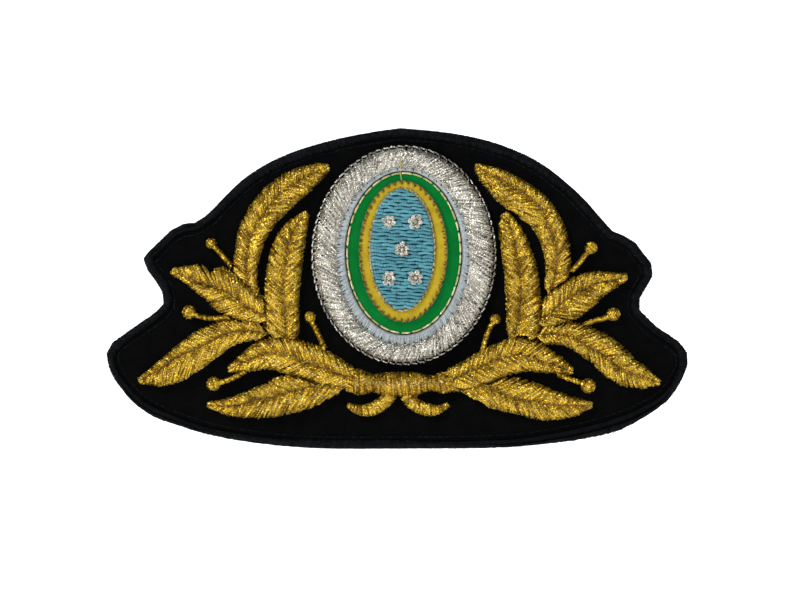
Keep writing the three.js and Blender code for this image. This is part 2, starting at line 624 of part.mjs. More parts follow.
/** The coloured ovals are laid one on another, each smaller than the last. */
function addColouredOvals() {
  const ovals = [
    ['green_oval', GREEN_OVAL, GREEN],
    ['yellow_oval', YELLOW_OVAL, YELLOW],
    ['blue_field', BLUE_OVAL, BLUE],
  ];
  ovals.forEach(([name, oval, look], layer) => {
    const back = MEDALLION_FLOOR + layer * (OVAL_STEP + GLUE_LINE);
    addPiece(name, clothLayer(ovalOutline(oval), back, back + OVAL_STEP), look);
  });
  const greenFront = MEDALLION_FLOOR + OVAL_STEP + GLUE_LINE;
  const yellowFront = greenFront + OVAL_STEP + GLUE_LINE;
  addPiece('green_edge_stitch', threadRing(grownOval(GREEN_OVAL, -OVAL_GAP), greenFront), GOLD);
  addPiece('yellow_edge_stitch', threadRing(grownOval(YELLOW_OVAL, -OVAL_GAP), yellowFront), GOLD);
  addPiece('field_edge_stitch', threadRing(FIELD_STITCH_OVAL, yellowFront), GOLD);
}

/** A flat flower of eight petals. */
function rosetteOutline(x, z) {
  const centre = ovalPoint([x, z, 0, 0], 0);
  const petals = 8;
  const corners = 4 * petals;
  const outline = [];
  for (let i = 0; i < corners; i += 1) {
    const turn = (i / corners) * 2 * Math.PI;
    const radius = ROSETTE_RADIUS * (0.86 + 0.14 * Math.cos(petals * turn));
    outline.push(new THREE.Vector2(centre.x + radius * Math.cos(turn), centre.y + radius * Math.sin(turn)));
  }
  return outline;
}

/** Five rosettes: one in the middle and one towards each corner. */
function addRosettes() {
  const floor = MEDALLION_FLOOR + 3 * (OVAL_STEP + GLUE_LINE);
  const [x, z] = BLUE_OVAL;
  const corners = [[0, 0], [-2.5, 5.3], [2.5, 5.3], [-2.5, -5.3], [2.5, -5.3]];
  corners.forEach(([across, up], i) => {
    const outline = rosetteOutline(x + across, z + up);
    addPiece(`rosette_${i + 1}`, clothLayer(outline, floor, floor + ROSETTE_RISE), SILVER);
  });
}

// ---------------------------------------------------------------- assembly

addClothLayers();
addBoundEdge();
addLeaves();
addKnotAndTendrils();
addBerries();
addMedallionGround();
addSilverRing();
addPaleRing();
addColouredOvals();
addRosettes();

export default badge;
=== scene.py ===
"""An embroidered cap badge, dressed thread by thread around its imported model.

The badge stands upright as it is worn: +Z is up, and -Y faces the viewer.  Every
length is in metres.  Each satin-stitched piece is a soft pad with single threads
laid over it, each cloth is a fine mesh of its own, and the studio is plain.
"""

import logging
import math
from dataclasses import dataclass, field
from enum import Enum

import bpy
import numpy as np
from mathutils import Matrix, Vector
from mathutils.bvhtree import BVHTree


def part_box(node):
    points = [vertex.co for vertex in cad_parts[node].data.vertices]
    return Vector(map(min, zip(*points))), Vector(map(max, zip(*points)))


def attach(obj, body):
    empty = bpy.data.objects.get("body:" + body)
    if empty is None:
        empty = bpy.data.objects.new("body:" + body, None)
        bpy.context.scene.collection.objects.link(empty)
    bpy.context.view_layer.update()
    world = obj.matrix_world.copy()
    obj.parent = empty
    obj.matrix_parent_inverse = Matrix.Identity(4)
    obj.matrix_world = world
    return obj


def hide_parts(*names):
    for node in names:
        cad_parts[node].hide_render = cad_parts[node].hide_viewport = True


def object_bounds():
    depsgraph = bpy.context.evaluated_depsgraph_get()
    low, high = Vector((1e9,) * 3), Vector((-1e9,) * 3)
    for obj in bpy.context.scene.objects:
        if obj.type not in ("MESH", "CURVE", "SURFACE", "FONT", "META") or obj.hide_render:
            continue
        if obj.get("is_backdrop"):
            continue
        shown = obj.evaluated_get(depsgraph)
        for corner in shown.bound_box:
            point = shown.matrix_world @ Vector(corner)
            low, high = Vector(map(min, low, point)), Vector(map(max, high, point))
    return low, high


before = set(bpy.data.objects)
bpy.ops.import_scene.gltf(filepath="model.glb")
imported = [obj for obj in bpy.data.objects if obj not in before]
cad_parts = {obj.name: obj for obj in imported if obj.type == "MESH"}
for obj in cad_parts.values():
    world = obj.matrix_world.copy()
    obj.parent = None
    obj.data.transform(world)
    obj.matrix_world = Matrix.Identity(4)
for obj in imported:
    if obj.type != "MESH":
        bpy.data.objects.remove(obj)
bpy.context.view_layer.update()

LOG = logging.getLogger("badge")

MM = 0.001
TAU = 2.0 * math.pi
BODY = "root"
FORWARD = np.array([0.0, -1.0, 0.0])

Pairs = list[tuple[float, float]]
Colour = tuple[float, float, float]


# --------------------------------------------------------------------------- shader maths


class Wire:
    """A shader output that can be added and multiplied like a number."""

    def __init__(self, shader: "ShaderBench", socket: bpy.types.NodeSocket) -> None:
        """Wrap one output socket.

        Args:
            shader: The bench that the socket's node stands on.
            socket: The output to wrap.
        """
        self.shader = shader
        self.socket = socket

    def _math(self, operation: str, first: object, second: object = None) -> "Wire":
        """Add a Math node and return its result."""
        return self.shader.node("ShaderNodeMath", {"operation": operation}, {0: first, 1: second})

    def __add__(self, other: object) -> "Wire":
        """Sum."""
        return self._math("ADD", self, other)

    __radd__ = __add__

    def __mul__(self, other: object) -> "Wire":
        """Product."""
        return self._math("MULTIPLY", self, other)

    __rmul__ = __mul__

    def __sub__(self, other: object) -> "Wire":
        """Difference."""
        return self._math("SUBTRACT", self, other)

    def __rsub__(self, other: object) -> "Wire":
        """Difference, with the number first."""
        return self._math("SUBTRACT", other, self)

    def sine(self) -> "Wire":
        """The sine of the value, in radians."""
        return self._math("SINE", self)

    def beside(self, output: str) -> "Wire":
        """Another output of the same node."""
        return Wire(self.shader, self.socket.node.outputs[output])


class ShaderBench:
    """One material with its nodes, and short words for the nodes that finishes use."""

    def __init__(self, name: str) -> None:
        """Start an empty material with a Principled shader.

        Args:
            name: The material's name.
        """
        self.material = bpy.data.materials.new(name)
        self.material.use_nodes = True
        self.tree = self.material.node_tree
        self.tree.nodes.clear()
        self.surface = self.tree.nodes.new("ShaderNodeBsdfPrincipled")
        output = self.tree.nodes.new("ShaderNodeOutputMaterial")
        self.tree.links.new(self.surface.outputs["BSDF"], output.inputs["Surface"])

    def node(self, kind: str, settings: dict, inputs: dict, output: object = 0) -> Wire:
        """Add a node of any kind.

        Args:
            kind: The node's type.
            settings: Attributes to set first; "stops" fills a colour ramp.
            inputs: Values or wires by socket name or number.
            output: The output to return, by name or number.

        Returns:
            The chosen output.
        """
        made = self.tree.nodes.new(kind)
        for key, value in settings.items():
            if key == "stops":
                self._fill_ramp(made.color_ramp, value)
            else:
                setattr(made, key, value)
        for key, value in inputs.items():
            self.plug(made.inputs[key], value)
        return Wire(self, made.outputs[output])

    def _fill_ramp(self, ramp: bpy.types.ColorRamp, stops: list[tuple[float, tuple]]) -> None:
        """Give a ramp its stops.

        Args:
            ramp: The colour ramp.
            stops: Each stop as its place, 0 to 1, and its colour.
        """
        while len(ramp.elements) < len(stops):
            ramp.elements.new(1.0)
        for element, (place, colour) in zip(ramp.elements, stops):
            element.position = place
            element.color = (*colour, 1.0)

    def plug(self, socket: bpy.types.NodeSocket, value: object) -> None:
        """Link a wire to a socket, or set the socket's own value.

        Args:
            socket: The input to fill.
            value: A wire, a plain value, or None to leave the input as it is.
        """
        if isinstance(value, Wire):
            self.tree.links.new(value.socket, socket)
        elif value is not None:
            socket.default_value = value

    def set(self, **values: object) -> None:
        """Set or link the Principled shader's sockets, named with underscores for spaces."""
        for key, value in values.items():
            if isinstance(value, tuple):
                value = (*value, 1.0)
            self.plug(self.surface.inputs[key.replace("_", " ")], value)

    def place(self) -> Wire:
        """The point on the badge, in metres."""
        return self.node("ShaderNodeTexCoord", {}, {}, "Object")

    def noise(self, size: float, detail: float = 2.0) -> Wire:
        """Cloudy noise from 0 to 1 whose features are about size metres across."""
        inputs = {"Vector": self.place(), "Scale": 1.0 / size, "Detail": detail}
        return self.node("ShaderNodeTexNoise", {}, inputs)

    def attribute(self, name: str) -> Wire:
        """A number stored on the mesh."""
        return self.node("ShaderNodeAttribute", {"attribute_name": name}, {}, "Fac")

    def ramp(self, factor: Wire, stops: list[tuple[float, tuple]]) -> Wire:
        """A colour picked along a ramp."""
        return self.node("ShaderNodeValToRGB", {"stops": stops}, {"Fac": factor}, "Color")

    def blend(self, factor: object, first: object, second: object) -> Wire:
        """A mix of two colours."""
        inputs = {"Factor": factor, 6: self._colour(first), 7: self._colour(second)}
        return self.node("ShaderNodeMix", {"data_type": "RGBA"}, inputs, 2)

    def facets(self, size: float) -> Wire:
        """A height in metres whose cells each tilt their own way, as crimped foil does.

        Args:
            size: The width of a cell.

        Returns:
            The wire that carries the height.
        """
        spot = self.place()
        cell = self.node("ShaderNodeTexVoronoi", {}, {"Vector": spot, "Scale": 1.0 / size}, "Position")
        subtract = {"operation": "SUBTRACT"}
        inside = self.node("ShaderNodeVectorMath", subtract, {0: spot, 1: cell})
        tilt = self.node("ShaderNodeVectorMath", subtract, {0: cell.beside("Color"), 1: (0.5, 0.5, 0.5)})
        return self.node("ShaderNodeVectorMath", {"operation": "DOT_PRODUCT"}, {0: inside, 1: tilt}, "Value")

    def _colour(self, value: object) -> object:
        """A plain colour with its alpha, or the wire as it is."""
        return value if isinstance(value, Wire) else (*value, 1.0)

    def bump(self, height: Wire) -> None:
        """Raise the surface by a height in metres."""
        self.set(Normal=self.node("ShaderNodeBump", {}, {"Height": height, "Distance": 1.0}))


# --------------------------------------------------------------------------- finishes


@dataclass(frozen=True)
class MetalThread:
    """Thread wrapped in metal foil, which glitters as its turns catch the light."""

    name: str
    slot: str
    light: Colour
    dark: Colour
    # The colour of the glint painted at each thread's ends.
    painted_glint: Colour = (0.95, 0.93, 0.85)
    edge: Colour = (1.0, 1.0, 1.0)
    roughness: float = 0.28
    metallic: float = 0.92
    glitter: float = 1.2

    def make(self) -> bpy.types.Material:
        """Build the material.

        Returns:
            A metallic finish with foil turns, thread-to-thread change and small glints, some of them painted
            into its colour.
        """
        bench = ShaderBench(self.name)
        along = bench.attribute("along")
        around = bench.attribute("around")
        tone = bench.attribute("tone")
        turns = (along * (TAU / (0.46 * MM)) + around * 4.0).sine()
        fleck = bench.noise(0.30 * MM, 2.0)
        patch = bench.noise(2.2 * MM, 2.0)
        # Fine flecks and the foil turns draw the colour lighter and darker: partly painted glint and shade of
        # the crimped foil, over each thread's random tone and random patches.
        mix = fleck * 0.7 + tone * 0.65 + patch * 0.45 + turns * 0.12 - 0.42
        body = bench.ramp(mix, [(0.16, self.dark), (0.80, self.light)])
        # Painted glint: near each thread's ends, where it bends into the cloth, the colour is blended in fine
        # flecks towards the glint colour.
        end_glint = bench.attribute("end") * (fleck * 1.1)
        bench.set(
            Base_Color=bench.blend(end_glint, body, self.painted_glint),
            Metallic=self.metallic,
            Specular_Tint=self.edge,
            Roughness=self.roughness + (0.5 - fleck) * 0.3,
        )
        bench.bump(turns * (0.022 * MM) + bench.facets(0.22 * MM) * self.glitter)
        return bench.material


@dataclass(frozen=True)
class SpunThread:
    """Smooth rayon or polyester thread, with a soft shine along its length."""

    name: str
    slot: str
    light: Colour
    dark: Colour
    roughness: float = 0.42
    specular: float = 0.4

    def make(self) -> bpy.types.Material:
        """Build the material.

        Returns:
            A soft finish whose fibres lie along the thread's twist.
        """
        bench = ShaderBench(self.name)
        along = bench.attribute("along")
        around = bench.attribute("around")
        tone = bench.attribute("tone")
        twist = (along * (TAU / (0.5 * MM)) + around * 6.0).sine()
        cloud = bench.noise(0.6 * MM)
        # Along the twist the colour is drawn a little lighter and darker: painted sheen, over random clouds
        # and each thread's random tone.
        mix = cloud * 0.7 + tone * 0.5 + twist * 0.12 - 0.1
        bench.set(
            Base_Color=bench.ramp(mix, [(0.1, self.dark), (0.8, self.light)]),
            Roughness=self.roughness + (0.5 - cloud) * 0.2,
            Specular_IOR_Level=self.specular,
        )
        bench.bump(twist * (0.015 * MM))
        return bench.material


@dataclass(frozen=True)
class Felt:
    """Pressed wool felt, matt, with short fibres lying every way."""

    name: str
    slot: str
    light: Colour
    dark: Colour
    specular: float = 0.05

    def make(self) -> bpy.types.Material:
        """Build the material.

        Returns:
            A matt finish, mottled and pilled at the size of wool fibres.
        """
        bench = ShaderBench(self.name)
        cloud = bench.noise(3.0 * MM, 4.0)
        fibre = bench.noise(0.3 * MM, 4.0)
        bench.set(
            Base_Color=bench.ramp(cloud * 0.5 + fibre * 0.5, [(0.3, self.dark), (0.75, self.light)]),
            Roughness=0.9 + fibre * 0.1,
            Specular_IOR_Level=self.specular,
        )
        bench.bump((fibre + cloud * 0.4) * (0.12 * MM))
        return bench.material


@dataclass(frozen=True)
class WovenCloth:
    """Plain or satin woven cloth, with its yarns drawn as fine ribs."""

    name: str
    slot: str
    light: Colour
    dark: Colour
    # The painted shade inside the needle holes.
    hole_shade: Colour = (0.01, 0.008, 0.006)
    yarn: float = 0.30 * MM
    roughness: float = 0.5
    relief: float = 0.012 * MM
    specular: float = 0.35

    def make(self) -> bpy.types.Material:
        """Build the material.

        Returns:
            A woven finish, darkened where the mesh marks needle holes: painted shade inside them.
        """
        bench = ShaderBench(self.name)
        spot = bench.node("ShaderNodeSeparateXYZ", {}, {"Vector": bench.place()})
        warp = (spot * (TAU / self.yarn)).sine()
        weft = (spot.beside("Z") * (TAU / self.yarn)).sine()
        cloud = bench.noise(2.5 * MM, 3.0)
        fine = bench.noise(0.25 * MM, 3.0)
        mix = cloud * 0.6 + fine * 0.4 + warp * weft * 0.06
        ground = bench.ramp(mix, [(0.3, self.dark), (0.7, self.light)])
        bench.set(
            Base_Color=bench.blend(bench.attribute("hole_shade"), ground, self.hole_shade),
            Roughness=self.roughness + fine * 0.15,
            Specular_IOR_Level=self.specular,
        )
        bench.bump((warp * weft + fine * 0.8) * self.relief)
        return bench.material


Finish = MetalThread | SpunThread | Felt | WovenCloth

GOLD = MetalThread(
    "gold thread", "gold_thread", (0.82, 0.57, 0.060), (0.20, 0.098, 0.006),
    painted_glint=(0.98, 0.84, 0.30), edge=(1.0, 0.78, 0.30),
)
# The knot's gold: a darker copy of the gold thread, painted shade, as its upright threads catch less light.
GOLD_BAND_SHADED = MetalThread(
    "gold band thread painted darker", "gold_thread", (0.60, 0.385, 0.036), (0.13, 0.060, 0.004),
    painted_glint=(0.98, 0.84, 0.34), edge=(1.0, 0.78, 0.30),
)
GOLD_LINE = MetalThread(
    "gold running stitch", "gold_stitch", (0.90, 0.80, 0.42), (0.55, 0.44, 0.16), metallic=0.3,
)
TAN_LINE = MetalThread(
    "tan whip stitch", "gold_stitch", (0.20, 0.10, 0.015), (0.06, 0.025, 0.005), metallic=0.2,
)
# Dark stitches along the midrib: painted shade of its needle holes.
VEIN_HOLE_SHADE = MetalThread(
    "vein needle hole shade", "gold_stitch", (0.21, 0.075, 0.006), (0.08, 0.026, 0.003), metallic=0.1, glitter=0.5,
)
SILVER = MetalThread("silver thread", "silver_thread", (0.86, 0.835, 0.75), (0.34, 0.315, 0.26))
SILVER_LINE = MetalThread("silver running stitch", "silver_stitch", (0.88, 0.86, 0.80), (0.30, 0.28, 0.24))
SILVER_FLOWER = MetalThread(
    "silver flower thread", "silver_thread", (0.80, 0.76, 0.66), (0.40, 0.37, 0.30), metallic=0.5,
)
GREY_LINE = MetalThread(
    "grey running stitch", "silver_stitch", (0.56, 0.50, 0.35), (0.24, 0.20, 0.12), metallic=0.5,
)
BLUE = SpunThread("light blue thread", "blue_thread", (0.095, 0.325, 0.385), (0.032, 0.155, 0.20))
BLACK = SpunThread(
    "black thread", "binding", (0.0105, 0.0115, 0.0130), (0.0030, 0.0035, 0.0042),
    roughness=0.80, specular=0.0,
)
FELT = Felt("black felt", "face_felt", (0.0032, 0.0034, 0.0035), (0.0011, 0.0011, 0.0012), 0.02)
PADDING = Felt("gold padding felt", "padding", (0.20, 0.11, 0.012), (0.08, 0.042, 0.005))
SILVER_PADDING = Felt("grey padding felt", "padding", (0.26, 0.25, 0.22), (0.12, 0.115, 0.10))
BLUE_GROUND = Felt("blue ground cloth", "blue_thread", (0.012, 0.07, 0.10), (0.006, 0.04, 0.06))
# Near-black, so that where its edge shows between the wraps and the lining it reads as shade: painted shade.
BUCKRAM = WovenCloth(
    "buckram board", "stiffener", (0.010, 0.010, 0.010), (0.005, 0.005, 0.005), yarn=0.8 * MM, specular=0.04,
)
LINING = WovenCloth(
    "black lining", "backing", (0.012, 0.013, 0.0145), (0.0035, 0.004, 0.005),
    yarn=0.5 * MM, relief=0.03 * MM, roughness=0.7, specular=0.08,
)
PALE = WovenCloth(
    "pale satin", "pale_thread", (0.36, 0.40, 0.41), (0.24, 0.275, 0.28), hole_shade=(0.05, 0.05, 0.045),
)
PALE_THREAD = SpunThread("pale thread", "pale_thread", (0.46, 0.505, 0.52), (0.25, 0.285, 0.30))
GREEN = WovenCloth(
    "green satin", "green_cloth", (0.0008, 0.175, 0.028), (0.0004, 0.115, 0.016),
    hole_shade=(0.001, 0.015, 0.005), specular=0.04,
)
YELLOW = WovenCloth(
    "yellow satin", "yellow_cloth", (0.53, 0.40, 0.022), (0.33, 0.215, 0.010),
    hole_shade=(0.030, 0.015, 0.003), specular=0.08,
)

_MADE: dict[str, bpy.types.Material] = {}


def dress(piece: bpy.types.Object, finish: Finish) -> None:
    """Give a piece its finish, made once.

    Args:
        piece: The piece.
        finish: The finish it gets.
    """
    if finish.name not in _MADE:
        _MADE[finish.name] = finish.make()
    piece.data.materials.clear()
    piece.data.materials.append(_MADE[finish.name])


# --------------------------------------------------------------------------- mesh tools


def deselect() -> None:
    """Leave nothing selected, in object mode."""
    if bpy.context.mode != "OBJECT":
        bpy.ops.object.mode_set(mode="OBJECT")
    bpy.ops.object.select_all(action="DESELECT")


def pick_edges(piece: bpy.types.Object, wanted: list[bool]) -> None:
    """Go into edit mode with only some edges selected.

    Args:
        piece: The object to edit, which is active.
        wanted: Whether to select each of its edges.
    """
    bpy.ops.object.mode_set(mode="EDIT")
    bpy.ops.mesh.select_mode(type="EDGE")
    bpy.ops.mesh.select_all(action="DESELECT")
    bpy.ops.object.mode_set(mode="OBJECT")
    for edge, picked in zip(piece.data.edges, wanted):
        edge.select = picked
    bpy.ops.object.mode_set(mode="EDIT")


def face_out(piece: bpy.types.Object) -> None:
    """Join a piece's doubled corners and turn all its faces outwards.

    Args:
        piece: The piece, whose mesh is changed.
    """
    deselect()
    piece.select_set(True)
    bpy.context.view_layer.objects.active = piece
    bpy.ops.object.mode_set(mode="EDIT")
    bpy.ops.mesh.select_all(action="SELECT")
    bpy.ops.mesh.remove_doubles(threshold=0.002 * MM)
    bpy.ops.mesh.normals_make_consistent(inside=False)
    bpy.ops.object.mode_set(mode="OBJECT")


def take(name: str) -> bpy.types.Object:
    """Name the object that an operator has just added, and return it.

    Args:
        name: The name for the object and its mesh.

    Returns:
        The object.
    """
    made = bpy.context.view_layer.objects.active
    made.name = name
    made.data.name = name
    return made


def own(piece: bpy.types.Object, finish: Finish, *nodes: str) -> bpy.types.Object:
    """Finish a piece: dress it, let it ride on the badge and stand for its CAD nodes.

    Args:
        piece: The finished mesh object.
        finish: What it is made of.
        nodes: The CAD nodes that it replaces.

    Returns:
        The same piece.
    """
    dress(piece, finish)
    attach(piece, BODY)
    if nodes:
        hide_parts(*nodes)
    LOG.info("%s: %d faces", piece.name, len(piece.data.polygons))
    return piece


def mesh_object(
    name: str, points: np.ndarray, faces: list, numbers: dict[str, np.ndarray],
) -> bpy.types.Object:
    """Make a mesh object from points and faces.

    Args:
        name: The piece's name.
        points: One row of x, y, z for each point.
        faces: Lists of point numbers.
        numbers: Values to store on the points, by attribute name.

    Returns:
        The new object, smooth shaded.
    """
    mesh = bpy.data.meshes.new(name)
    mesh.from_pydata(points.tolist(), [], faces)
    for key, values in numbers.items():
        mesh.attributes.new(key, "FLOAT", "POINT").data.foreach_set("value", values.astype(np.float32))
    mesh.shade_smooth()
    made = bpy.data.objects.new(name, mesh)
    bpy.context.scene.collection.objects.link(made)
    return made


def copy_node(node: str, name: str) -> bpy.types.Object:
    """A copy of a CAD node with its loose triangles joined at their corners.

    Args:
        node: The CAD node's name.
        name: The copy's name.

    Returns:
        The copy, in the scene and in view.
    """
    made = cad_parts[node].copy()
    made.data = made.data.copy()
    made.name = made.data.name = name
    for key in list(made.keys()):
        del made[key]
    made.parent = None
    bpy.context.scene.collection.objects.link(made)
    made.hide_set(False)
    made.hide_render = False
    face_out(made)
    return made


def apply_modifier(piece: bpy.types.Object, kind: str, **settings: object) -> None:
    """Add a modifier with these settings and apply it.

    Args:
        piece: The piece.
        kind: The modifier's type.
        **settings: The values it is set to.
    """
    deselect()
    piece.select_set(True)
    bpy.context.view_layer.objects.active = piece
    modifier = piece.modifiers.new(kind.lower(), kind)
    for key, value in settings.items():
        setattr(modifier, key, value)
    bpy.ops.object.modifier_apply(modifier=modifier.name)


def soften(piece: bpy.types.Object, cell: float, passes: int) -> None:
    """Rebuild a solid from even cells and smooth it, as pressed padding is.

    Args:
        piece: The solid.
        cell: The size of a cell.
        passes: How many times it is smoothed.
    """
    apply_modifier(piece, "REMESH", mode="VOXEL", voxel_size=cell)
    apply_modifier(piece, "SMOOTH", factor=0.5, iterations=passes)
    piece.data.shade_smooth()


def points_of(piece: bpy.types.Object) -> np.ndarray:
    """The piece's points as rows of x, y, z.

    Args:
        piece: The piece.

    Returns:
        One row for each point.
    """
    flat = np.empty(3 * len(piece.data.vertices), np.float32)
    piece.data.vertices.foreach_get("co", flat)
    return flat.reshape(-1, 3).astype(float)


def normals_of(piece: bpy.types.Object) -> np.ndarray:
    """The piece's normals at its points.

    Args:
        piece: The piece.

    Returns:
        One row for each point.
    """
    flat = np.empty(3 * len(piece.data.vertices), np.float32)
    piece.data.vertices.foreach_get("normal", flat)
    return flat.reshape(-1, 3).astype(float)


def move_points(piece: bpy.types.Object, points: np.ndarray) -> None:
    """Put the piece's points at new places."""
    piece.data.vertices.foreach_set("co", points.astype(np.float32).ravel())
    piece.data.update()


def swell(piece: bpy.types.Object, by: float) -> None:
    """Move the surface outwards along its normals."""
    move_points(piece, points_of(piece) + by * normals_of(piece))


# --------------------------------------------------------------------------- curves in the badge's plane


def spline(points: np.ndarray, count: int) -> np.ndarray:
    """A smooth curve through points, sampled at even distances along it.

    Args:
        points: Rows of values to pass through, in order.
        count: How many samples to return.

    Returns:
        The samples, one row each.
    """
    ends = np.vstack([2 * points[0] - points[1], points, 2 * points[-1] - points[-2]])
    steps = np.linspace(0, len(points) - 1 - 1e-9, 40 * len(points))
    cell = steps.astype(int)
    t = (steps - cell)[:, None]
    a, b, c, d = (ends[cell + i] for i in range(4))
    curve = 0.5 * (2 * b + (c - a) * t + (2 * a - 5 * b + 4 * c - d) * t**2 + (3 * b - a - 3 * c + d) * t**3)
    return evenly(curve, count)


def evenly(curve: np.ndarray, count: int) -> np.ndarray:
    """Resample a polyline at even distances.

    Args:
        curve: The points of the line.
        count: How many points to return.

    Returns:
        The new points, one to a row.
    """
    gaps = np.linalg.norm(np.diff(curve, axis=0), axis=1)
    run = np.concatenate([[0.0], np.cumsum(gaps)])
    wanted = np.linspace(0.0, run[-1], count)
    return np.column_stack([np.interp(wanted, run, curve[:, i]) for i in range(curve.shape[1])])


def upright(flat: np.ndarray, depth: np.ndarray | float) -> np.ndarray:
    """Points of the front view, as rows of x, y, z at a depth."""
    return np.column_stack([flat[:, 0], np.broadcast_to(depth, len(flat)), flat[:, 1]])


def left_of(way: np.ndarray) -> np.ndarray:
    """The direction a quarter turn to the left, in the front view."""
    return np.array([-way[1], way[0]])


def headings(curve: np.ndarray) -> np.ndarray:
    """Unit directions along a polyline, one for each point."""
    ahead = np.gradient(curve, axis=0)
    return ahead / np.maximum(np.linalg.norm(ahead, axis=-1, keepdims=True), 1e-12)


def length_of(curve: np.ndarray) -> float:
    """The length of a polyline."""
    return float(np.linalg.norm(np.diff(curve, axis=0), axis=1).sum())


@dataclass(frozen=True)
class Oval:
    """An ellipse in the badge's plane: centre and half sizes in metres."""

    x: float
    z: float
    half_width: float
    half_height: float

    @classmethod
    def around(cls, node: str, inset: float = 0.0) -> "Oval":
        """The oval that bounds a CAD node, moved inwards by inset.

        Args:
            node: The CAD node's name.
            inset: How far the oval lies inside the box of the node.

        Returns:
            The oval.
        """
        low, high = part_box(node)
        middle, half = (low + high) / 2, (high - low) / 2
        return cls(middle.x, middle.z, half.x - inset, half.z - inset)

    def grown(self, by: float) -> "Oval":
        """The same oval with larger half sizes."""
        return Oval(self.x, self.z, self.half_width + by, self.half_height + by)

    def at(self, turns: np.ndarray) -> np.ndarray:
        """Points at these angles, as rows of x, z.

        Args:
            turns: The angles.

        Returns:
            One row for each angle.
        """
        return np.column_stack([
            self.x + self.half_width * np.cos(turns),
            self.z + self.half_height * np.sin(turns),
        ])

    def point(self, turn: float) -> np.ndarray:
        """The point at one angle."""
        return self.at(np.array([turn]))[0]

    def even_turns(self, count: int, start: float = 0.0) -> np.ndarray:
        """Angles whose points lie at even distances round the oval.

        Args:
            count: How many angles.
            start: Where the first one lies, as a share of one step.

        Returns:
            The angles.
        """
        fine = np.linspace(0, TAU, 2001)
        run = np.concatenate([[0.0], np.cumsum(np.linalg.norm(np.diff(self.at(fine), axis=0), axis=1))])
        return np.interp(((np.arange(count) + start) / count % 1.0) * run[-1], run, fine)

    def girth(self) -> float:
        """The distance round the oval."""
        return length_of(self.at(np.linspace(0, TAU, 721)))


# --------------------------------------------------------------------------- threads


class ThreadMould:
    """One length of thread, modelled once and copied along every stitch."""

    def __init__(self, sides: int, rings: int) -> None:
        """Model the thread as a closed rod with rounded ends, one metre long and one metre in radius.

        Args:
            sides: Corners around the thread.
            rings: Rings of corners along it.
        """
        deselect()
        bpy.ops.mesh.primitive_cylinder_add(vertices=sides, radius=1.0, depth=1.0, location=(0.0, 0.0, 0.5))
        rod = take("thread_mould")
        ends = [[rod.data.vertices[i].co.z for i in edge.vertices] for edge in rod.data.edges]
        pick_edges(rod, [abs(low - high) > 0.5 for low, high in ends])
        bpy.ops.mesh.subdivide(number_cuts=rings - 2)
        bpy.ops.object.mode_set(mode="OBJECT")
        bpy.ops.object.transform_apply(location=True, rotation=True, scale=True)
        self.points = points_of(rod)
        self.faces = [list(face.vertices) for face in rod.data.polygons]
        self.levels = np.unique(self.points[:, 2].round(5))
        self.ring = np.searchsorted(self.levels, self.points[:, 2].round(5))
        bpy.data.objects.remove(rod)

    def lay(self, name: str, runs: "Stitches") -> bpy.types.Object:
        """Copy the thread along every stitch, into one mesh.

        Args:
            name: The new piece's name.
            runs: The stitches to follow.

        Returns:
            The new piece, with each thread's tone, turn and distance stored on its points.
        """
        paths, wide, high, tone = runs.arrays(len(self.levels))
        ahead = np.gradient(paths, axis=1)
        ahead /= np.maximum(np.linalg.norm(ahead, axis=2, keepdims=True), 1e-12)
        out = runs.outward(paths)
        side = np.cross(ahead, out)
        side /= np.maximum(np.linalg.norm(side, axis=2, keepdims=True), 1e-9)
        up = np.cross(side, ahead)
        taper = np.interp(self.levels, [0.0, 0.06, 0.94, 1.0], [0.45, 1.0, 1.0, 0.45])[self.ring]
        across = (self.points[:, 0] * taper)[None, :, None] * wide[:, None, None]
        lift = (self.points[:, 1] * taper)[None, :, None] * high[:, None, None]
        spots = paths[:, self.ring] + across * side[:, self.ring] + lift * up[:, self.ring]
        gaps = np.linalg.norm(np.diff(paths, axis=1), axis=2)
        run = np.concatenate([np.zeros((len(paths), 1)), np.cumsum(gaps, axis=1)], axis=1)
        around = np.arctan2(self.points[:, 1], self.points[:, 0]) / TAU
        count = len(self.points)
        faces = [[i + n * count for i in face] for n in range(len(paths)) for face in self.faces]
        numbers = {
            "along": run[:, self.ring].ravel(),
            "around": np.tile(np.abs(around) * 2.0, len(paths)),
            "tone": np.repeat(tone, count),
            # How near each point lies to its thread's ends, where the metal finishes paint a glint.
            "end": np.tile(np.abs(2 * self.levels[self.ring] - 1) ** 4, len(paths)),
        }
        return mesh_object(name, spots.reshape(-1, 3), faces, numbers)


class Facing(Enum):
    """Which way the threads stand out of the cloth under them."""

    FRONT = "towards the viewer"
    RIM = "out from the middle of each thread's path"


@dataclass
class Stitches:
    """Paths for threads to follow, each with its own width, height and tone."""

    random: np.random.Generator
    width: float = 0.40 * MM
    height: float = 0.30 * MM
    paths: list[np.ndarray] = field(default_factory=list)
    sizes: list[float] = field(default_factory=list)
    facing: Facing = Facing.FRONT

    def add(self, path: np.ndarray, size: float = 1.0) -> None:
        """Add one stitch, as rows of x, y, z."""
        self.paths.append(path)
        self.sizes.append(size)

    def arrays(self, rings: int) -> tuple[np.ndarray, np.ndarray, np.ndarray, np.ndarray]:
        """All paths at the same number of points, with half widths, half heights and tones.

        Args:
            rings: How many points each path gets.

        Returns:
            The paths, half widths, half heights and tones, one row or value for each stitch.
        """
        paths = np.array([evenly(path, rings) for path in self.paths])
        share = np.array(self.sizes) * self.random.uniform(0.9, 1.1, len(paths))
        tone = self.random.uniform(0.0, 1.0, len(paths))
        return paths, self.width / 2 * share, self.height / 2 * share, tone

    def outward(self, paths: np.ndarray) -> np.ndarray:
        """The way out of the cloth along each path: forward, or out from the middle on a rim.

        Args:
            paths: The paths of all stitches.

        Returns:
            One direction for each point of each path.
        """
        if self.facing is Facing.FRONT:
            return np.broadcast_to(FORWARD, paths.shape)
        out = paths - paths.mean(axis=1, keepdims=True)
        return out / np.maximum(np.linalg.norm(out, axis=2, keepdims=True), 1e-9)


